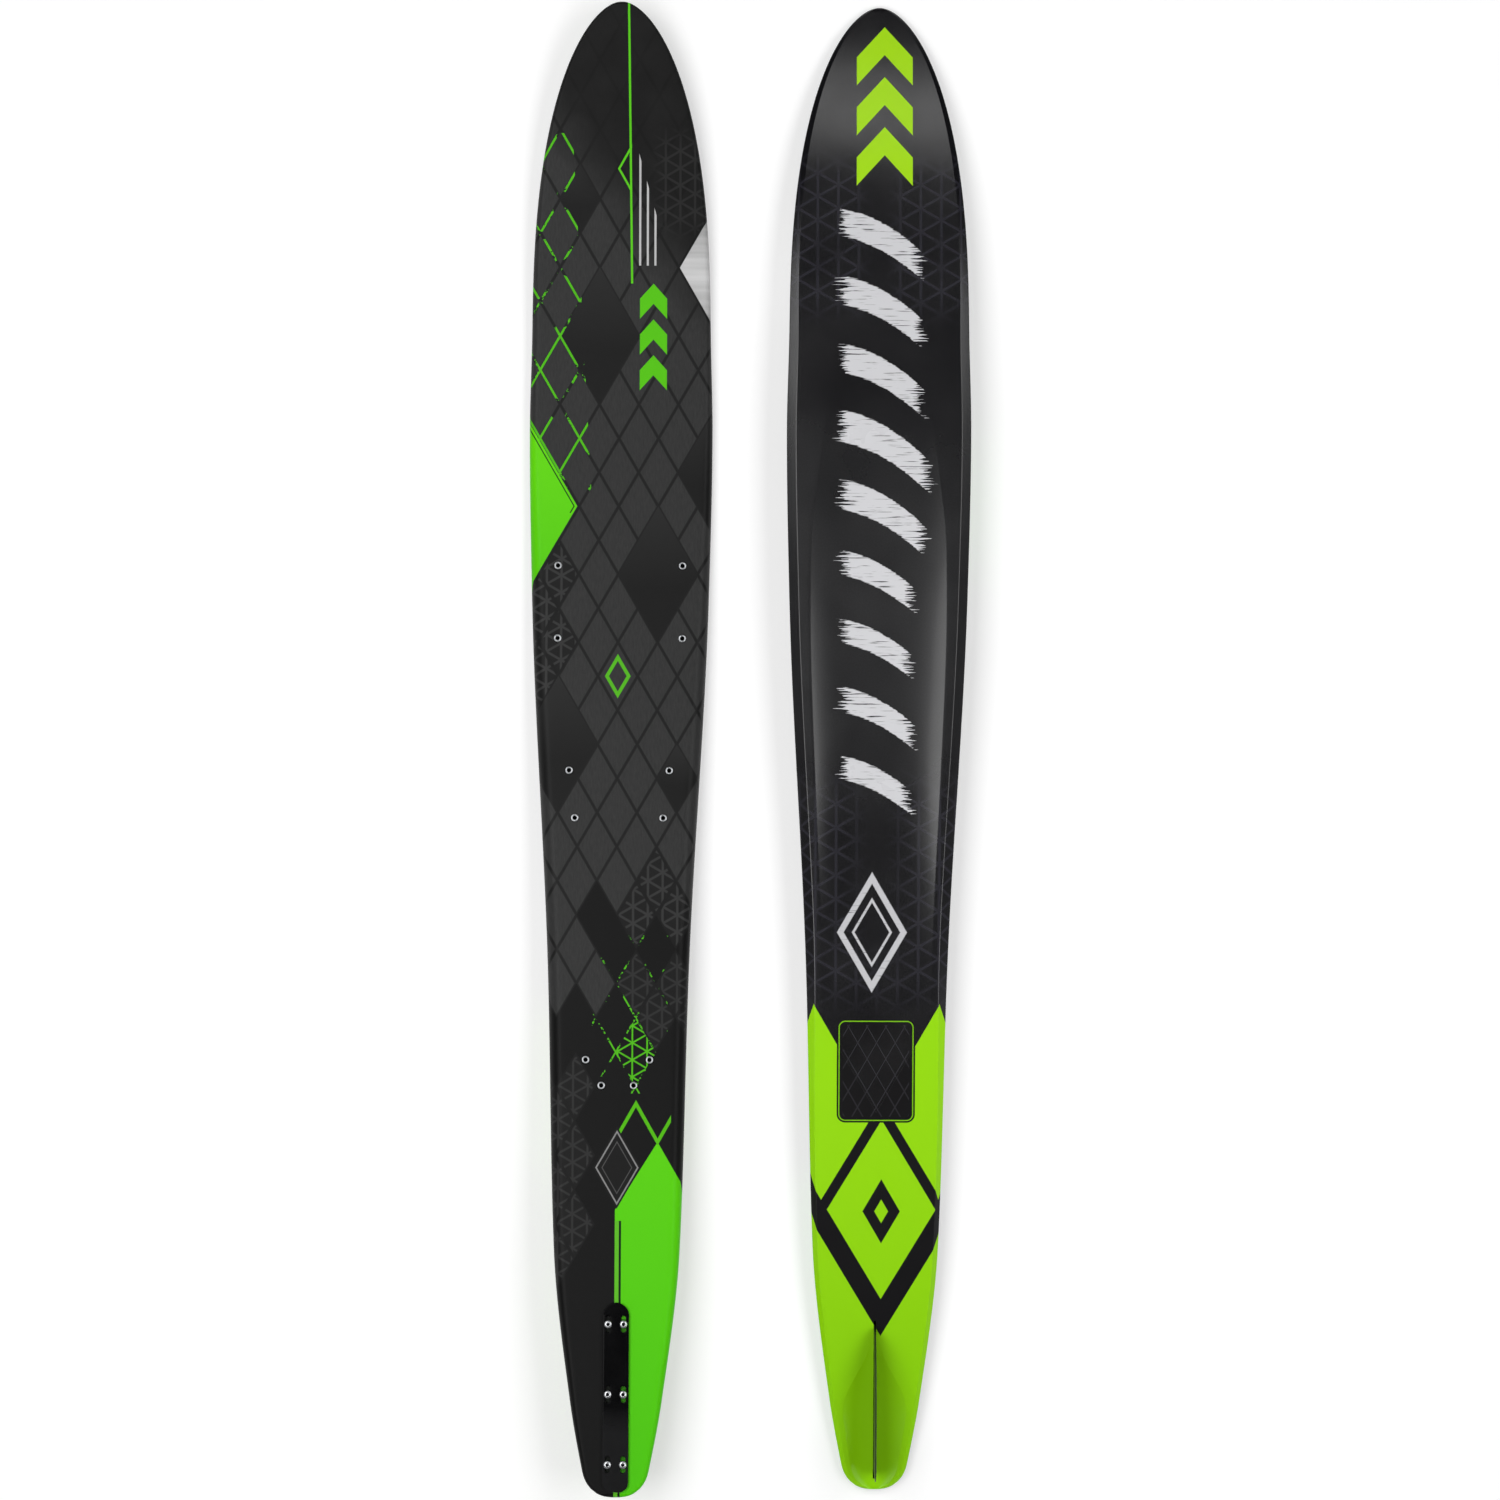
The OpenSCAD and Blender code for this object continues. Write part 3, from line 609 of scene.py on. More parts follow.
class Look:
    """A material: constant settings, a colour laid on in layers, then roughness and a bump."""

    def __init__(self, name, first, **settings):
        self.material = bpy.data.materials.new(name)
        self.material.use_nodes = True
        self.nodes = self.material.node_tree.nodes
        self.shader = self.nodes["Principled BSDF"]
        self.top = first
        for entry, value in settings.items():
            self.set(entry.replace("_", " "), value)

    def set(self, entry, value):
        feed(self.shader.inputs[entry], value)

    def place(self):
        """The place in the frame, in metres."""
        return self.nodes.new("ShaderNodeTexCoord").outputs["Object"]

    def attribute(self, name, output):
        """What the mesh carries under a name."""
        node = self.nodes.new("ShaderNodeAttribute")
        node.attribute_name = name
        return node.outputs[output]

    def print_place(self):
        """The place on a skin's print in millimetres: as a whole, across, and along from the tail."""
        place = self.attribute("print_at", "Vector")
        return (place, *xyz(place)[:2])

    def lay(self, mask, over):
        self.top = paint(self.top, mask, over)

    def finish(self, roughness, height, strength, distance=0.0001):
        """Gives back the material, with its colour, its roughness and a bump from a field."""
        bump = self.nodes.new("ShaderNodeBump")
        for entry, value in (("Strength", strength), ("Distance", distance), ("Height", height)):
            feed(bump.inputs[entry], value)
        self.set("Normal", bump.outputs["Normal"])
        self.set("Base Color", self.top)
        self.set("Roughness", roughness)
        return self.material


# Print of the deck: a lattice of diamonds, with the distance between its lines and how steep they are
LATTICE_X = -2.2
LATTICE_S = 1162.2
LATTICE_LINE = 1.7
CELL_X = 23.35
CELL_S = 40.2
CELL_STEP = 2 * CELL_X * CELL_S / math.hypot(CELL_X, CELL_S)
HALF_STEP = CELL_STEP / 2
SLOPE = CELL_S / CELL_X
STEEP = CELL_X / math.hypot(CELL_X, CELL_S)

# Cells of the lattice by column and row: centre and size of dark diamonds, and first and last of each block
DARK_DIAMONDS = [(-1, 5, 2), (2, -2, 2), (-3, -7, 2), (5, 1, 2), (3, -8, 1), (-2, 9, 1)]
DARK_BLOCKS = [((-9, 9), (-30, -15)), ((1, 9), (-30, -13))]
DARK_SLANT = -13
FINE_BLOCKS = [((-9, -3), (-5, -1)), ((1, 9), (-15, -14)), ((-9, -2), (-22, -17))]
FINE_PEAK = (2, -11)
TURN_ROW = -12
GREEN_BLOCK = ((1, 1), (-16, -16))
FINE_SIDE = 20
FINE_LINE = 1.3
FINE_RIM = 2

# The deck's nose: dark smoke that starts along a slant, and fine triangles beside the silver
SMOKE = (1470, 1570)
SMOKE_SLANT = 1.2
SMOKE_DRIFT = 90
NOSE_FINE_X = (36, 52)
NOSE_FINE_S = (1475, 1610)
NOSE_FINE_FADE = 30

# Worn green lines: left of a leaning edge, and in a part of the tail given in cells
WORN_GREEN = "#52be12"
WORN_LINE = 1.3
WORN_THIN = 0.9
WORN_EDGE = (-38, 1240)
WORN_LEAN = 0.055
WORN_LEFT = (1180, 1600)
WORN_TAIL_U = (-1.2, 2.6)
WORN_TAIL_V = (-17.2, -12.6)

# Shapes on the deck: half diamonds in cells, the rest in millimetres
GREEN_U = -2.1
GREEN_FADE = (1080, 1240)
SILVER_U = 3.05
SILVER_V = 7
SHINE_V = 6.8
STRIPE_X = 12.6
STRIPE_REAR = 1425
STRIPE_LEAN = 0.013
STRIPE_HALF = 1.25
NOTCH_X = -3
NOTCH_S = 1559
NOTCH_LEAN = 0.57
NOTCH_REACH = (-6, 12)
DECK_CHEVRONS = (38, 16, 1308, 42, 3)
BAR_X = 22
BAR_STEP = 9
BAR_HALF = 1.2
BARS_S = (1446, 1572)
BARS_LEAN = 3.5
BARS_X = (31, 14)
RING_V = -5
RING = (0.55, 0.1)

# The deck's tail: green half with a peak, zigzag, lines on the middle, badge, and the painted shade under the
# block
PEAK_X = 47.5
PEAK_S = 414
PEAK_LEAN = 1.6
ZIGZAG_HALF = 25.5
ZIGZAG_LEAN = 1.76
ZIGZAG_X = (2.2, 63)
SPINE_FRONT = 322
SPINE = (0.4, 2.4)
SPINE_SHADE = (4, 1.3)
BADGE_S = 384
BADGE_SIZE = 48
BLOCK_SHADE_S = (22, 208)
BLOCK_SHADE_HALF = BLOCK_WIDTH / 2 - 4


def triangles(x, s, side):
    """Distance in millimetres to the nearest line of a triangle pattern."""
    height = side * math.sqrt(3) / 2
    gaps = []
    for turn in np.radians((0, 60, 120)):
        along = x * math.cos(turn) + s * math.sin(turn)
        gaps.append(along.to_line(height))
    return gaps[0].least(*gaps[1:])


def chevrons(x, s, middle, half, start, pitch, count):
    """Distance in millimetres into the bands of a row of chevrons, negative outside them."""
    side = abs(x - middle)
    along = s + side * 1.1 - start
    band = along.to_line(pitch) - pitch * 0.22
    return band.least(half - side, along, count * pitch - along)


class Lattice:
    """Where a place lies in the deck's lattice of diamonds."""

    def __init__(self, x, s):
        self.u = (x - LATTICE_X) * (1 / CELL_X)
        self.v = (s - LATTICE_S) * (1 / CELL_S)
        rising = (self.u + self.v) * 0.5
        falling = (self.u - self.v) * 0.5
        self.line_gap = rising.to_line(1).least(falling.to_line(1)) * CELL_STEP
        cell_rise = rising.op("FLOOR")
        cell_fall = falling.op("FLOOR")
        self.column = cell_rise + cell_fall + 1
        self.row = cell_rise - cell_fall

    def block(self, columns, rows):
        """1 in the cells from the first to the last column and row."""
        across = self.column.over(columns[0] - 0.5) * self.column.under(columns[1] + 0.5)
        return across * self.row.over(rows[0] - 0.5) * self.row.under(rows[1] + 0.5)


def deck_ground(look, at, cells):
    """Dark cloth with the lattice's lines and some darker diamonds."""
    hair = noise(at, 0.5, 3, ((1, 0.2, 1), 30))
    cross_hair = noise(at, 0.5, 3, ((1, 0.2, 1), -30))
    look.lay(hair.most(cross_hair).ramp(0.35, 0.75), "#363636")
    look.lay((LATTICE_LINE - cells.line_gap).ink(0.6), "#181818")
    for u, v, size in DARK_DIAMONDS:
        diamond = (size - abs(cells.u - u) - abs(cells.v - v)) * HALF_STEP
        shade = paint("#151515", cells.v.ramp(v - 0.2 * size, v + size), "#272727")
        look.lay(diamond.ink(), shade)


def deck_patches(look, cells, fine):
    """Darker cells towards the tail, and cells filled with fine triangles."""
    dark = (cells.column + cells.row).op("COMPARE", DARK_SLANT, 0.5) * cells.row.under(TURN_ROW + 0.5)
    dark = dark.most(*[cells.block(*block) for block in DARK_BLOCKS])
    look.lay(dark, "#090909")
    peak = cells.row + abs(cells.column - FINE_PEAK[0])
    patch = peak.op("COMPARE", FINE_PEAK[1], 0.5) * cells.row.over(TURN_ROW - 0.5)
    patch = patch.most(*[cells.block(*block) for block in FINE_BLOCKS])
    look.lay(patch * (fine - FINE_LINE).ink(0.5), "#161616")
    look.lay(patch * (FINE_LINE - fine).ink(0.5) * 0.75, "#343434")
    look.lay(patch * (FINE_RIM - cells.line_gap).ink(0.6), "#141414")


def deck_nose(look, at, x, s, fine):
    """Dark smoke towards the tip, and fine triangles beside the silver."""
    smoke = noise(at, 0.02, 4)
    nose = (s + x * SMOKE_SLANT + (smoke - 0.5) * SMOKE_DRIFT).ramp(*SMOKE)
    look.lay(nose * 0.92, paint("#080808", smoke.ramp(0.4, 0.7), "#131313"))
    near_silver = x.ramp(*NOSE_FINE_X) * s.between(*NOSE_FINE_S).ramp(0, NOSE_FINE_FADE)
    look.lay(near_silver * (FINE_LINE - fine).ink(0.5) * 0.55, "#2e2e2e")


def deck_lines(look, at, x, s, cells, fine):
    """Worn green lines on the lattice, and one cell of fine green triangles."""
    chip = (noise(at, 0.3, 2) - 0.5) * 0.3
    worn = noise(at, 0.03, 2) + chip
    left = (x - WORN_EDGE[0] + (s - WORN_EDGE[1]) * WORN_LEAN).under(0) * s.between(*WORN_LEFT).over(0)
    left = (WORN_LINE - cells.line_gap).ink() * worn.ramp(0.47, 0.5) * left
    tail = cells.u.between(*WORN_TAIL_U).over(0) * cells.v.between(*WORN_TAIL_V).over(0)
    tail = (WORN_THIN - cells.line_gap).ink() * (worn + chip).ramp(0.54, 0.57) * tail
    look.lay(left.most(tail), WORN_GREEN)
    lit = cells.block(*GREEN_BLOCK) * (worn + 0.08).ramp(0.47, 0.5)
    look.lay((WORN_THIN - fine).ink() * lit, WORN_GREEN)


def deck_shapes(look, at, x, s, cells):
    """Green half diamond, silver patch, stripe with a notch, chevrons, bars and a small ring."""
    green = (GREEN_U - cells.u - abs(cells.v)) * HALF_STEP
    look.lay(green.ink(), paint("#57ce00", s.ramp(*GREEN_FADE), "#66dd00"))
    look.lay(green.near(3.2, 0.7).ink() * cells.v.over(-0.2), "#0f2a06")
    silver = (cells.u - SILVER_U - abs(cells.v - SILVER_V)) * HALF_STEP
    bands = noise(at, 0.1, 3, ((0.06, 1, 1), 0)).ramp(0.3, 0.7)
    shine = abs(cells.v - SHINE_V).ramp(1.25, 0.1) * 0.6 + bands * 0.4
    look.lay(silver.ink(), paint("#989898", shine, "#dadada"))
    stripe = x.near(STRIPE_X - (s - STRIPE_REAR) * STRIPE_LEAN, STRIPE_HALF).least(s - STRIPE_REAR)
    notch = 1.2 - abs(x - NOTCH_X - abs(s - NOTCH_S) * NOTCH_LEAN) * 0.87
    look.lay(stripe.most(notch.least(x.between(*NOTCH_REACH))).ink(), "#5cd014")
    look.lay(chevrons(x, s, *DECK_CHEVRONS).ink(), "#58c80a")
    bars = BAR_HALF - (x - BAR_X).to_line(BAR_STEP)
    bars = bars.least(s - BARS_S[0], BARS_S[1] - s - (x - BAR_X) * BARS_LEAN, x.near(*BARS_X))
    look.lay(bars.ink(), "#c4c4c4")
    ring = (abs(cells.u) + abs(cells.v - RING_V)).near(*RING)
    look.lay((ring * HALF_STEP).ink(), "#55b81c")


def deck_tail(look, x, s):
    """Green half of the tail, zigzag, lines on the middle, a plain badge, and painted shade under the block.
    """
    green = (PEAK_S - s + (x - PEAK_X) * PEAK_LEAN) * 0.53
    green = green.least((PEAK_S - s - (x - PEAK_X) * SLOPE) * 0.5, x + 2)
    look.lay(green.ink(), paint("#4ecb00", s.ramp(0, 420), "#5cd500"))
    zigzag = (x - PEAK_X).op("PINGPONG", ZIGZAG_HALF) * ZIGZAG_LEAN + PEAK_S
    steps = (2 - abs(s - zigzag) * 0.494).least(x.between(*ZIGZAG_X))
    look.lay(steps.ink(), "#55bd08")
    look.lay(x.near(*SPINE).least(SPINE_FRONT - s).ink(), "#5fbe24")
    look.lay(x.near(*SPINE_SHADE).least(SPINE_FRONT - s).ink(), "#021a04")
    badge = (BADGE_SIZE - abs(x) * SLOPE - abs(s - BADGE_S)) * STEEP
    look.lay(badge.ink(), "#141414")
    look.lay(badge.near(3, 0.8).ink(), "#8d8d8d")
    look.lay(badge.near(9, 0.5).ink(), "#4f4f4f")
    # painted shade: the print is darkened where the block sits over it, and this shows at the ends of its
    # slots
    block_shade = (BLOCK_SHADE_HALF - abs(x)).least(s.between(*BLOCK_SHADE_S))
    look.lay(block_shade.ink() * 0.6, "#0a1606")


def deck_material():
    """The printed deck under a thin satin finish."""
    look = Look("deck_print", "#2d2d2d", Specular_IOR_Level=0.12)
    at, x, s = look.print_place()
    cells = Lattice(x, s)
    fine = triangles(x, s, FINE_SIDE)
    deck_ground(look, at, cells)
    deck_patches(look, cells, fine)
    deck_nose(look, at, x, s, fine)
    deck_lines(look, at, x, s, cells, fine)
    deck_shapes(look, at, x, s, cells)
    deck_tail(look, x, s)
    grain = noise(at, 1.6, 2)
    look.lay(grain.ramp(0.25, 0.8) * 0.16, "#000000")
    return look.finish(noise(at, 0.02, 4) * 0.08 + 0.41, grain, 0.06)


# Print of the base: a faint triangle pattern, dry strokes, a double diamond and chevrons
STAR_SIDE = 28
STAR_LINE = 1.7
STARS_NOSE = (1370, 1590)
STARS_TAIL = (560, 860)
STARS_WHOLE_TO = 650
STROKE_PITCH = 80
STROKE_SLANT = 0.6
STROKE_ROWS = (10, 18)
STROKE_BEND_X = 10
STROKE_BEND = 0.004
DIAMOND_X = -6
DIAMOND_S = 661
DIAMOND_RINGS = [(64, 3.4), (38, 1.4)]
BASE_CHEVRONS = (6, 33, 1562, 60, 3)

# The base's lime tail: two peaks, a V, a roof and a small diamond about one middle line, and a plain panel
LIME_PEAK_X = 74.5
LIME_PEAK_S = 577
LIME_FADE = (150, 480)
VEE_X = 6.5
VEE_LEAN = 1.66
VEE_SHARE = 0.516
VEE_S = (184, 228)
ROOF_S = (440, 463)
ROOF_FOOT = 200
SMALL_S = 332
SMALL_RING = (26, 12)
PANEL_X = -0.5
PANEL_S = 498
PANEL_HALF = (36, 51)
PANEL_ROUND = 10
MESH_STEP = 22
MESH_LEAN = 0.58

# Places along the base where its gloss changes
BELLY_REAR = (760, 960)
BELLY_FRONT = (1300, 1140)
NOSE_GLOSS = (1400, 1540)


def base_stars(look, at, x, s):
    """A faint triangle pattern behind the nose and before the tail."""
    star = triangles(x, s, STAR_SIDE)
    fade = noise(at, 0.012, 2).ramp(0.1, 0.4)
    nose = s.between(*STARS_NOSE).ramp(0, 40) * abs(x).ramp(6, 30)
    tail = s.between(*STARS_TAIL).ramp(0, 50) * abs(x).ramp(8, 42).most((STARS_WHOLE_TO - s).ramp(0, 50))
    look.lay((STAR_LINE - star).ink(0.7) * nose.most(tail) * fade, "#222128")


def base_strokes(look, at, x, s):
    """Pale dry strokes, all slanted one way and each a little different, and a double diamond."""
    across = (x * STROKE_SLANT + s) * (1 / STROKE_PITCH)
    row = across.op("FLOOR")
    chance = ((row * 12.9898).op("SINE") * 43.7585).op("FRACT")
    bristle = noise(at, 0.6, 3, ((0.045, 1, 1), 31))
    uneven = bristle - 0.5
    bend = (x - STROKE_BEND_X) * (x - STROKE_BEND_X) * STROKE_BEND
    middle = (across.op("FRACT") - 0.5) * STROKE_PITCH + bend
    stroke = chance * 6 + 13 - abs(middle) - uneven * 6
    reach = chance * 14 + 34 + uneven * 60 - abs(x + 4 - chance * 10)
    stroke = stroke.least(reach, row.between(STROKE_ROWS[0] - 0.5, STROKE_ROWS[1] + 0.5))
    look.lay(stroke.ink(0.5) * bristle.ramp(0.33, 0.4), "#d2d2d5")
    diamond = abs(x - DIAMOND_X) * SLOPE + abs(s - DIAMOND_S)
    rings = [((size - diamond) * STEEP).near(0, half) for size, half in DIAMOND_RINGS]
    look.lay(rings[0].most(*rings[1:]).ink(0.4) * bristle.ramp(0.28, 0.36), "#c6c6c9")


def base_lime(look, x, s):
    """The lime tail with its dark bands; gives back where the lime lies."""
    lime = ((LIME_PEAK_S - s - abs(abs(x) - LIME_PEAK_X) * SLOPE) * STEEP).ink()
    look.lay(lime, paint("#8cd200", s.ramp(*LIME_FADE), "#95da00"))
    rise = abs(x - VEE_X) * VEE_LEAN
    vee = (s - rise).between(*VEE_S) * VEE_SHARE
    roof = ((s + rise).between(*ROOF_S) * VEE_SHARE).least(s - ROOF_FOOT - rise)
    look.lay(vee.most(roof).ink() * lime, "#09080b")
    small = (abs(x - VEE_X) * SLOPE + abs(s - SMALL_S)).near(*SMALL_RING)
    look.lay((small * STEEP).ink(), "#0b0a0d")
    return lime


def base_panel(look, x, s):
    """A plain dark panel with round corners, a thin lime line and a faint mesh."""
    past_x = (abs(x - PANEL_X) - PANEL_HALF[0]).most(0)
    past_s = (abs(s - PANEL_S) - PANEL_HALF[1]).most(0)
    panel = PANEL_ROUND - (past_x * past_x + past_s * past_s).op("SQRT")
    look.lay(panel.ink(), "#060507")
    look.lay(panel.near(2.6, 0.6).ink(), "#7cc400")
    wire = (x + s * MESH_LEAN).to_line(MESH_STEP).least((x - s * MESH_LEAN).to_line(MESH_STEP))
    look.lay((0.8 - wire).ink(0.5).least((panel - 7).ink()) * 0.7, "#2c2b30")


def base_material():
    """The printed base: black with a fine sparkle, pale strokes and a lime tail, glossy in parts."""
    look = Look("base_print", "#050507", Coat_Weight=0.12, Coat_Roughness=0.12)
    at, x, s = look.print_place()
    sparkle = noise(at, 0.45, 3)
    look.lay(sparkle.ramp(0.35, 0.75), "#131216")
    base_stars(look, at, x, s)
    base_strokes(look, at, x, s)
    arrows = chevrons(x, s, *BASE_CHEVRONS).ink()
    look.lay(arrows, "#a4dc14")
    lime = base_lime(look, x, s).most(arrows)
    base_panel(look, x, s)
    belly = s.ramp(*BELLY_REAR) * s.ramp(*BELLY_FRONT)
    scuffs = noise(at, 0.015, 4)
    rough = scuffs * 0.12 + 0.18 + lime * 0.16 + belly * 0.08 - s.ramp(*NOSE_GLOSS) * 0.09
    look.set("Specular IOR Level", 0.5 - lime * 0.36)
    return look.finish(rough, sparkle, 0.1)


def metal_material(name, dark, light, roughness, lines):
    """Machined metal: fine lines, small tone changes and a little wear, with painted shade inside bores and
    sockets.
    """
    look = Look(name, dark, Metallic=1)
    place = look.place()
    fine = noise(place, lines, 3, ((1, 1, 9), 0))
    wear = noise(place, 90, 3)
    deep_shade = Field(look.attribute("deep_shade", "Fac"))
    look.lay(fine * 0.7 + wear * 0.3, light)
    # painted shade: dark colour inside bores and sockets, where little light reaches
    look.lay(deep_shade, "#141416")
    return look.finish(fine * 0.12 + wear * 0.1 + deep_shade * 0.3 + roughness, fine, 0.08)


# Frame, in metres: where along the ski the block's painted sheen and duller finish start towards the tail,
# and where they are full
SHEEN_AND_DULLING = (-0.77, -0.80)


def block_material():
    """Black gloss finish with a fine moulded grain, duller towards the tail and lighter there with a painted
    sheen.
    """
    look = Look("block_black", "#010102", Specular_IOR_Level=0.08)
    place = look.place()
    grain = noise(place, 900, 2)
    marks = noise(place, 60, 4)
    sheen_and_dulling = xyz(place)[1].ramp(*SHEEN_AND_DULLING)
    look.lay(grain, "#060607")
    # painted sheen: a lighter colour towards the tail stands in for a reflection on the gloss
    look.lay(sheen_and_dulling * (marks * 0.6 + 0.6), "#141415")
    return look.finish(marks * 0.1 + 0.12 + sheen_and_dulling * 0.15, grain, 0.02)


def fin_material():
    """Black anodised blade with lengthwise brushing."""
    look = Look("fin_black", "#0e0f11", Metallic=0.6)
    place = look.place()
    brush = noise(place, 1500, 2, ((1, 0.03, 1), 0))
    marks = noise(place, 40, 4)
    look.lay(brush, "#25262a")
    return look.finish(brush * 0.15 + marks * 0.15 + 0.25, brush, 0.08)


def laminate_material():
    """Woven fibre under resin."""
    look = Look("laminate", "#26281f", Coat_Weight=0.3)
    place = look.place()
    x, y, _ = xyz(place)
    weave = (x * 400).op("SINE") * (y * 400).op("SINE") * 0.5 + 0.5
    look.lay(weave, "#434738")
    return look.finish(noise(place, 120, 3) * 0.2 + 0.4, weave, 0.3, 0.0002)


# Frame, in metres: distance between the two skis, and the resin round the fin's slot
SKI_SPACING = 0.304
SEAL_REACH = 0.0055
SEAL_TO = -0.6


def foam_material():
    """Closed-cell foam: small cells with darker walls, sealed with dark resin round the fin's slot."""
    look = Look("core_foam", "#d9c48f", Specular_IOR_Level=0.25)
    place = look.place()
    cells = look.nodes.new("ShaderNodeTexVoronoi")
    cells.inputs["Scale"].default_value = 900
    feed(cells.inputs["Vector"], place)
    gap = Field(cells.outputs["Distance"])
    x, y, _ = xyz(place)
    resin = abs(abs(x) - SKI_SPACING / 2).under(SEAL_REACH) * y.under(SEAL_TO)
    look.lay(gap.ramp(0.2, 0.8), "#b0945a")
    look.lay(resin, "#151517")
    return look.finish(gap * 0.2 + 0.75 - resin * 0.35, gap, 0.5, 0.0003)


def plate_material():
    """Brown fabric board, with its weave and streaks."""
    look = Look("hard_plate", "#6b4520")
    place = look.place()
    streak = noise(place, 160, 4, ((1, 0.1, 1), 0))
    speck = noise(place, 1200, 2)
    look.lay(streak, "#a3733c")
    look.lay(speck.ramp(0.5, 0.8) * 0.4, "#4a2d12")
    return look.finish(streak * 0.2 + 0.45, speck, 0.2, 0.0002)


def read(items, name, width=1, kind=float):
    """One value, or a few, of each of a mesh's points, corners or faces as an array."""
    values = np.empty(len(items) * width, kind)
    items.foreach_get(name, values)
    return values.reshape(-1, width) if width > 1 else values


def put_print(mesh, line, drop, start, mirror):
    """Gives every point of a skin its place on the print: across, going on down the side, and along."""
    x, s, z = read(mesh.vertices, "co", 3).T
    s = np.clip(s, 0, LENGTH)
    over_edge = np.where(np.abs(x) > hollow_half(s), np.clip((line(s) - z) * drop - start, 0, None), 0)
    place = np.stack(((np.abs(x) + over_edge) * np.sign(x) * mirror, s, np.zeros(len(s))), axis=-1)
    attribute = mesh.attributes.new("print_at", "FLOAT_VECTOR", "POINT")
    attribute.data.foreach_set("vector", place.astype(np.float32).ravel())


# Flat layout of a skin's print: strips side by side, and a narrow column for the unseen inside
STRIPS = 3
STRIP_LENGTH = LENGTH / STRIPS
STRIP_MARGIN = 16
STRIP_REACH = 125
OUTSIDE_SHARE = 0.94
INSIDE_FROM = 0.95


def put_layout(mesh):
    """Lays a skin out flat in a square, so that its print can be drawn there finely."""
    corners = read(mesh.loops, "vertex_index", kind=np.int32)
    counts = read(mesh.polygons, "loop_total", kind=np.int32)
    x, s, z = read(mesh.polygons, "center", 3).T
    facing = read(mesh.polygons, "normal", 3)
    places = read(mesh.attributes["print_at"].data, "vector", 3)
    away = facing[:, 0] * x + facing[:, 2] * (z - seam_line(np.clip(s, 0, LENGTH)))
    outside = np.repeat(away > 0, counts)
    strip = np.repeat(np.clip(s // STRIP_LENGTH, 0, STRIPS - 1), counts)
    across, along = places[corners, :2].T
    column = 0.5 + across / (2 * STRIP_REACH)
    row = (along - strip * STRIP_LENGTH + STRIP_MARGIN) / (STRIP_LENGTH + 2 * STRIP_MARGIN)
    inside_u = INSIDE_FROM + (1 - INSIDE_FROM) * column
    u = np.where(outside, (strip + column) / STRIPS * OUTSIDE_SHARE, inside_u)
    v = np.where(outside, row, along / LENGTH)
    layout = mesh.uv_layers.new(name="OFBake")
    layout.uv.foreach_set("vector", np.stack((u, v), axis=-1).astype(np.float32).ravel())


def pair_at(s, spacing):
    return [(-spacing / 2, s), (spacing / 2, s)]


INSERT_PLACES = {node: [p for row in rows for p in pair_at(*row)] for node, rows in INSERT_ROWS.items()}
SCREW_PLACES = [place for row in SCREW_ROWS for place in pair_at(row, SCREW_SPACING)]

# Cuts: play round an insert, bottom and top of the deck's cutters, bottom of the base's, reach past a leg
HOLE_GAP = 0.1
CUT_DECK = (19, 28)
CUT_BASE = -10
CUT_LEG = 1


def deck_layer(depth, thickness):
    """The printed deck skin or the woven layer under it, with its holes."""
    mesh = layer_mesh(deck_half, depth, thickness)
    holes = [place for places in INSERT_PLACES.values() for place in places]
    cutters = drills(holes, INSERT_OUTER + HOLE_GAP, *CUT_DECK)
    cutters += drills(SCREW_PLACES, SCREW_INSERT_OUTER + HOLE_GAP, *CUT_DECK)
    cutters.append(bar(POCKET_HALF, *POCKET, *CUT_DECK))
    mesh = cut(mesh, cutters)
    put_print(mesh, deck_line, 1, SHOULDER_TURN, 1)
    put_layout(mesh)
    return mesh


def base_layer(depth, thickness):
    """The printed base skin or the woven layer over it, with the fin's slot."""
    mesh = layer_mesh(base_half, depth, thickness)
    mesh = cut(mesh, [bar(SLOT_HALF, *POCKET, CUT_BASE, LEG_BOTTOM)])
    put_print(mesh, base_line, -1, 0, -1)
    put_layout(mesh)
    return mesh


def put_deep(mesh, places, reach, top):
    """Marks the points that lie inside a bore or a socket, to get painted shade."""
    points = read(mesh.vertices, "co", 3)
    gaps = np.min([np.hypot(points[:, 0] - x, points[:, 1] - y) for x, y in places], axis=0)
    inside = (gaps < reach) & (points[:, 2] < top)
    attribute = mesh.attributes.new("deep_shade", "FLOAT", "POINT")
    attribute.data.foreach_set("value", inside.astype(np.float32))


# Depth below an edge from which a bore or a socket gets painted shade
DEEP_BORE = 0.1
DEEP_SOCKET = 0.2


def insert_mesh(places):
    """Threaded inserts, flush with the deck: a crowned ring, a threaded bore and a floor."""
    rim = INSERT_OUTER / 2
    hole = INSERT_BORE / 2
    profile = [(rim, -INSERT_DEPTH)]
    for t in np.linspace(1, -1, 9):
        profile.append(((rim + hole) / 2 + t * (rim - hole) / 2, -INSERT_CROWN * t * t))
    turns = int((INSERT_DEPTH - THREAD_REST) / THREAD_PITCH)
    for i in range(turns):
        top = -THREAD_TOP - i * THREAD_PITCH
        profile.append((hole, top))
        profile.append((hole + THREAD_DEPTH, top - THREAD_PITCH * THREAD_FLANK))
    profile.append((hole, -THREAD_TOP - turns * THREAD_PITCH))
    profile.append((hole, INSERT_FLOOR - INSERT_DEPTH))
    mesh = stack_rings(turned(profile, ROUND_STEPS))
    repeat(mesh, [(x, y, DECK_HEIGHT) for x, y in places])
    put_deep(mesh, places, hole + 2 * THREAD_DEPTH, DECK_HEIGHT - INSERT_CROWN - DEEP_BORE)
    return mesh


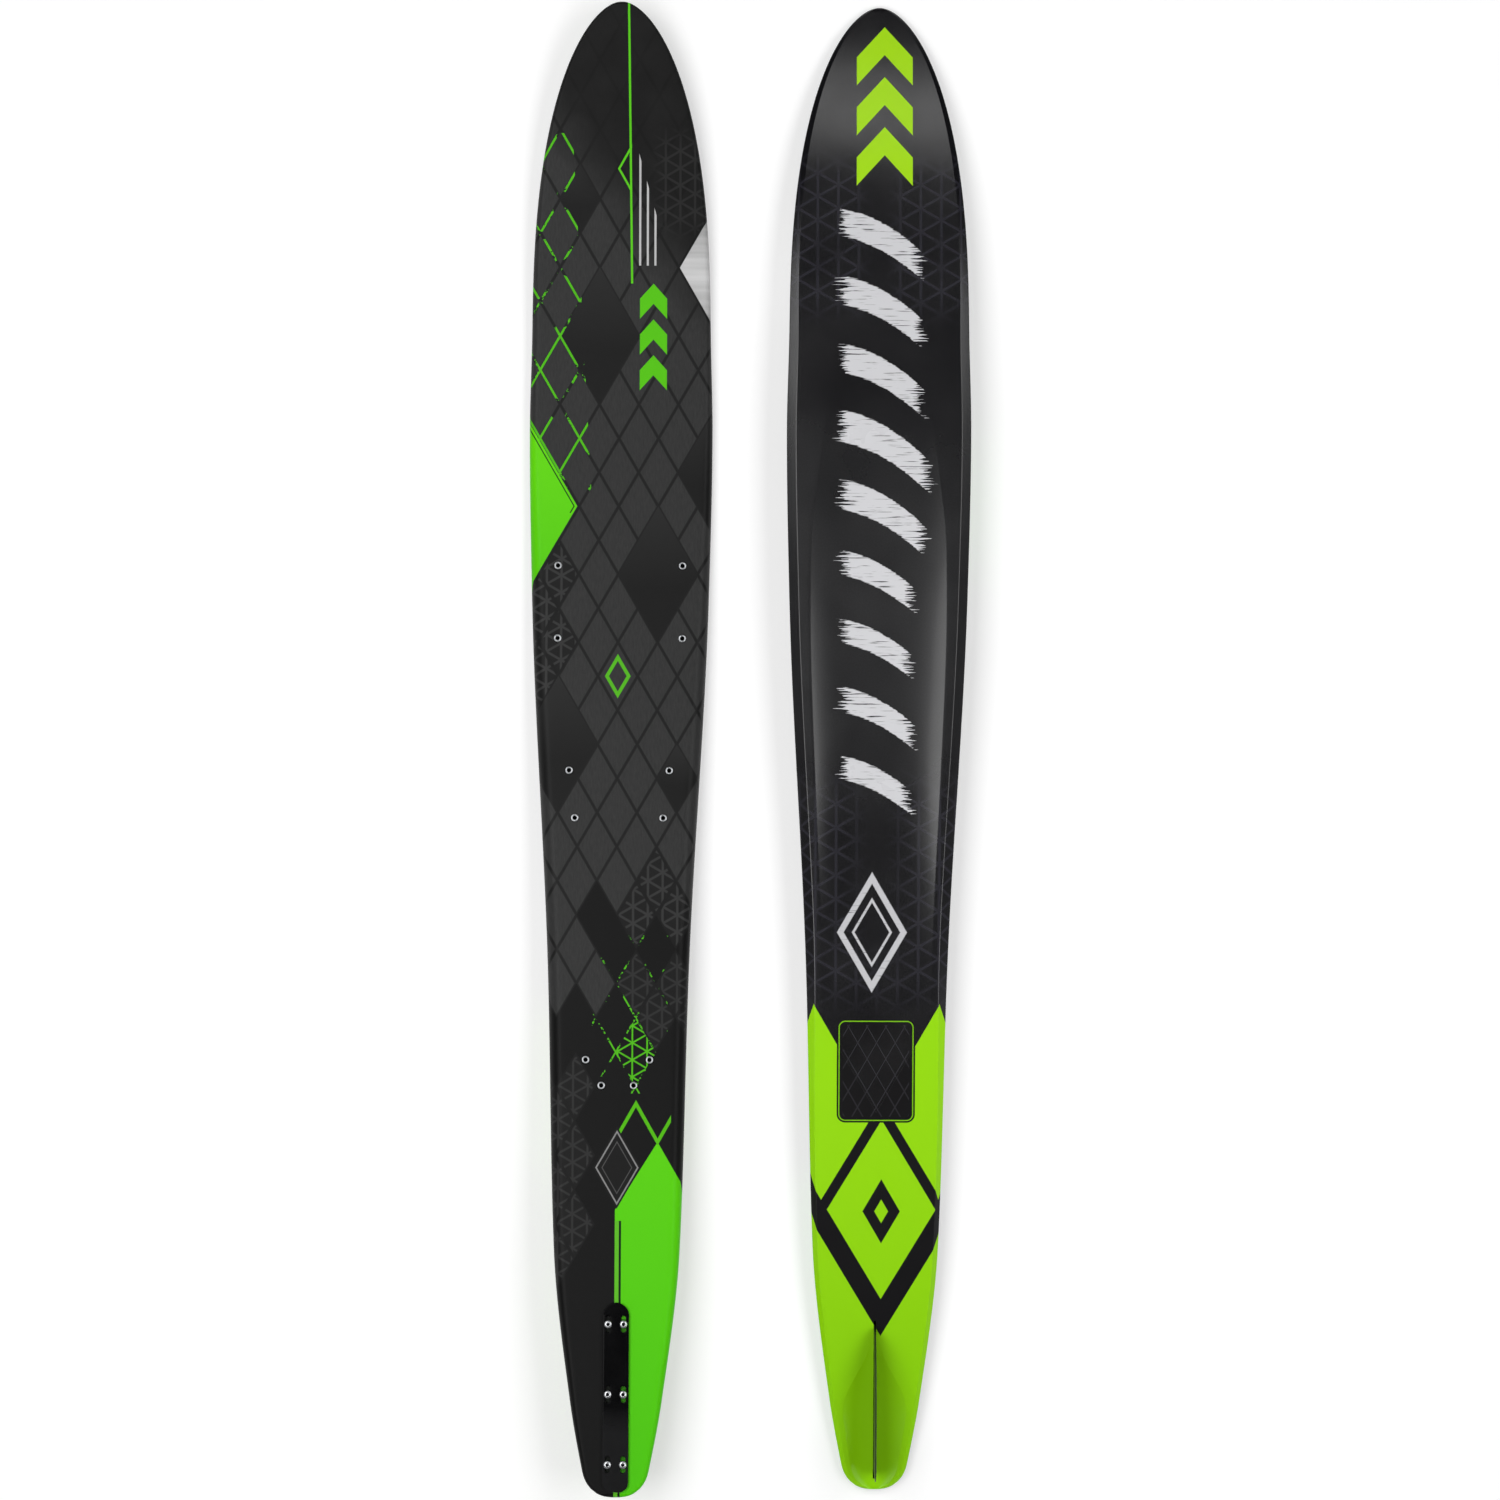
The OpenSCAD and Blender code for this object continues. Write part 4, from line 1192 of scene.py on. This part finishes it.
def screw_mesh():
    """Round-headed screws with a hexagon socket."""
    shank = SHANK / 2
    head = HEAD / 2
    end = DECK_HEIGHT - SCREW_INSERT_DEPTH + SHANK_GAP
    lip = SOCKET / 2 + SOCKET_LIP
    profile = [(shank - SHANK_CHAMFER, end), (shank, end + SHANK_CHAMFER)]
    profile += [(shank, HEAD_BOTTOM), (head - HEAD_CHAMFER, HEAD_BOTTOM)]
    for a in np.radians(np.arange(0, 91, 15)):
        profile.append((lip + (head - lip) * math.cos(a), HEAD_TOP - HEAD_DOME * (1 - math.sin(a))))
    sixth = math.pi / 3
    turn = np.linspace(0, 2 * math.pi, SCREW_STEPS, endpoint=False)
    hexagon = SOCKET / 2 / np.cos((turn + sixth / 2) % sixth - sixth / 2)
    profile += [(hexagon * size, HEAD_TOP - down) for size, down in SOCKET_RINGS]
    mesh = stack_rings(turned(profile, SCREW_STEPS))
    repeat(mesh, [(x, y, 0) for x, y in SCREW_PLACES])
    put_deep(mesh, SCREW_PLACES, hexagon.max() * SOCKET_RINGS[0][0], HEAD_TOP - DEEP_SOCKET)
    return mesh


def block_mesh():
    """The fin block: a plate with a round front and six slots, and two legs that hold the fin."""
    half = BLOCK_WIDTH / 2
    front = BLOCK_REAR + BLOCK_LENGTH
    outline = arc(0, front - half, half, 0, 180, 24)
    outline += arc(BLOCK_ROUND - half, BLOCK_REAR + BLOCK_ROUND, BLOCK_ROUND, 180, 270)
    outline += arc(half - BLOCK_ROUND, BLOCK_REAR + BLOCK_ROUND, BLOCK_ROUND, 270, 360)
    slots = []
    for x, y in SCREW_PLACES:
        fore = arc(x, y + SCREW_SLOT_REACH, SCREW_SLOT / 2, 0, 180, 10)
        slots.append(fore + arc(x, y - SCREW_SLOT_REACH, SCREW_SLOT / 2, 180, 360, 10))
    mesh = plate([outline, *slots], BLOCK_BOTTOM, BLOCK_TOP, BLOCK_EDGE)
    mesh = cut(mesh, [bar(LEG_HALF, *LEG, LEG_BOTTOM, BLOCK_BOTTOM + BLOCK_EDGE)], "UNION")
    slit = bar(SLIT_HALF, FIN_REAR - FIN_GAP, FIN_FRONT + FIN_GAP, LEG_BOTTOM - CUT_LEG, SLIT_TOP)
    mesh = cut(mesh, [slit])
    holes = []
    sideways = Matrix.Rotation(math.pi / 2, 4, "Y")
    for i in range(SET_SCREWS):
        y = LEG[0] + (LEG[1] - LEG[0]) * (i + 0.5) / SET_SCREWS
        middle = Matrix.Translation((LEG_HALF, y, (LEG_BOTTOM + BLOCK_BOTTOM) / 2))
        size = Matrix.Diagonal((SET_SCREW_HOLE, SET_SCREW_HOLE, 2 * LEG_HALF, 1))
        holes.append(("round", middle @ sideways @ size))
    return cut(mesh, holes)


def fin_mesh():
    """The fin: a thin blade, ground down all round its free edge."""
    bottom = FIN_BASE - FIN_DEPTH
    sweep = FIN_FRONT - FIN_REAR - FIN_FOOT
    lead = np.radians(np.linspace(0, 90, 25))
    turn = np.radians(np.linspace(0, 90, 9))
    edge = [(FIN_FRONT, FIN_TOP)]
    edge += [(FIN_REAR + FIN_FOOT + sweep * math.cos(a), FIN_BASE - FIN_DEPTH * math.sin(a)) for a in lead]
    for a in turn:
        edge.append((FIN_REAR + FIN_CORNER * (1 - math.sin(a)), bottom + FIN_CORNER * (1 - math.cos(a))))
    edge.append((FIN_REAR, FIN_TOP))
    edge = np.array(edge)
    middle = np.array(((FIN_REAR + FIN_FRONT) / 2, FIN_TOP))
    tangent = np.gradient(edge, axis=0)
    normal = np.stack((tangent[:, 1], -tangent[:, 0]), axis=-1)
    normal /= np.linalg.norm(normal, axis=1, keepdims=True)
    inward = np.where(((middle - edge) * normal).sum(axis=1, keepdims=True) > 0, normal, -normal)
    inset = edge + inward * FIN_BEVEL
    inset[[0, -1], 1] = FIN_TOP
    thick = FIN_THICKNESS / 2
    rings = ((inset, -thick), (edge, -FIN_EDGE), (edge, FIN_EDGE), (inset, thick))
    return stack_rings([np.insert(ring, 0, x, axis=1) for ring, x in rings])


deck_print = deck_material()
base_print = base_material()
insert_steel = metal_material("insert_steel", "#8f9296", "#d4d6d8", 0.22, 700)
screw_steel = metal_material("screw_steel", "#9a9da1", "#e0e1e3", 0.14, 900)
insert_brass = metal_material("insert_brass", "#8a6a2c", "#c9a24e", 0.25, 700)
set_screw_steel = metal_material("set_screw_steel", "#222327", "#4a4b50", 0.3, 700)
block_black = block_material()
fin_black = fin_material()
laminate = laminate_material()
core_foam = foam_material()
hard_plate = plate_material()

# Angle in degrees from which an edge stays sharp in the shading
SHARP_METAL = 30
SHARP_FIN = 8

# Solids inside the ski that stay as they are and only get a material
KEPT_NODES = {
    "core": core_foam,
    "front_insert_plate": hard_plate,
    "rear_insert_plate": hard_plate,
    "fin_insert_plate": hard_plate,
    "fin_block_inserts": insert_brass,
    "fin_set_screws": set_screw_steel,
}

LAYERS = (("deck", deck_layer, deck_print), ("base", base_layer, base_print))
for side in ("left", "right"):
    for level, layer, look in LAYERS:
        sheet = level + "_sheet"
        add_piece(side, level + "_skin", layer(0, SKIN), "ski", sheet, look)
        weave = layer(SKIN, WEAVE)
        add_piece(side, level + "_weave", weave, "ski", level + "_laminate", laminate)
    for node, places in INSERT_PLACES.items():
        name = node.replace("inserts", "bushes")
        add_piece(side, name, insert_mesh(places), "ski", node, insert_steel, SHARP_METAL)
    node = "fin_block_screws"
    add_piece(side, "block_screws", screw_mesh(), "ski", node, screw_steel, SHARP_METAL)
    add_piece(side, "tail_block", block_mesh(), "fin_block", "fin_block", block_black)
    add_piece(side, "blade", fin_mesh(), "fin", "fin", fin_black, SHARP_FIN)
    for node, material in KEPT_NODES.items():
        materials = frame["nodes"][side + "_" + node].data.materials
        materials.clear()
        materials.append(material)

# Floor, light and camera, in metres
FLOOR_HALF = 6
FLOOR_GAP = 0.0005
FLOOR_GLOW = 0.42
FAR_GLOW = 0.5
FAR = (1.2, 4.5)


def light_path(nodes):
    """1 for what the camera sees, straight or by reflection or through glass."""
    node = nodes.new("ShaderNodeLightPath")
    kinds = ("Is Camera Ray", "Is Glossy Ray", "Is Transmission Ray")
    rays = [Field(node.outputs[kind]) for kind in kinds]
    return rays[0].most(*rays[1:])


def floor_material():
    """Pale floor that goes to white away from the object's shadow."""
    look = Look("floor", "#cfcfcf", Roughness=0.9, Specular_IOR_Level=0.1, Emission_Color=(1, 1, 1, 1))
    place = look.place()
    look.lay(noise(place, 3, 2), "#d6d6d6")
    look.set("Base Color", look.top)
    x, y, _ = xyz(place)
    far = (x * x + y * y).op("SQRT").ramp(*FAR)
    look.set("Emission Strength", light_path(look.nodes) * (far * FAR_GLOW + FLOOR_GLOW))
    return look.material


floor_mesh = bpy.data.meshes.new("floor")
floor_signs = ((-1, -1), (1, -1), (1, 1), (-1, 1))
floor_corners = [(x * FLOOR_HALF, y * FLOOR_HALF, -FLOOR_GAP) for x, y in floor_signs]
floor_mesh.from_pydata(floor_corners, [], [(0, 1, 2, 3)])
floor_mesh.materials.append(floor_material())
floor = new_object("floor", floor_mesh)

ZENITH_LIGHT = 0.06
HORIZON = (0.45, 0.05)
world = bpy.data.worlds.new("studio")
bpy.context.scene.world = world
world.use_nodes = True
sky = world.node_tree.nodes
background = sky["Background"]
background.inputs["Color"].default_value = (1, 1, 1, 1)
direction = sky.new("ShaderNodeTexCoord").outputs["Generated"]
horizon = xyz(direction)[2].ramp(*HORIZON)
feed(background.inputs["Strength"], horizon * (1 - ZENITH_LIGHT) + ZENITH_LIGHT)


def softbox(name, place, target, tall, wide, power):
    """A soft studio lamp that faces a point, tall towards the ceiling and wide level with the floor."""
    lamp = bpy.data.lights.new(name, "AREA")
    lamp.shape = "RECTANGLE"
    lamp.size = tall
    lamp.size_y = wide
    lamp.energy = power
    item = new_object(name, lamp)
    item.location = place
    item.rotation_euler = (Vector(target) - Vector(place)).to_track_quat("-Z", "X").to_euler()


softbox("lamp_left", place=(-1.25, 0, 2.8), target=(0.15, 0, 0), tall=1.75, wide=3, power=66)
softbox("lamp_right", place=(1.75, -0.1, 2.6), target=(0, 0, 0), tall=1.2, wide=3, power=46)
softbox("lamp_nose", place=(0.486, 2.285, 3.648), target=(0.1, 0.7, 0), tall=0.33, wide=1.4, power=4.2)

CAMERA_HEIGHT = 5
FRAME_SIZE = 1.763
FRAME_LEVEL = 0.045
CAMERA_AT = (0.002, -0.003)
CAMERA_ROLL = 0.004
camera_data = bpy.data.cameras.new("camera")
camera_data.lens = camera_data.sensor_width * (CAMERA_HEIGHT - FRAME_LEVEL) / FRAME_SIZE
camera = new_object("camera", camera_data)
camera.location = (*CAMERA_AT, CAMERA_HEIGHT)
camera.rotation_euler = (0, 0, CAMERA_ROLL)
bpy.context.scene.camera = camera
bpy.context.scene.view_settings.view_transform = "Standard"
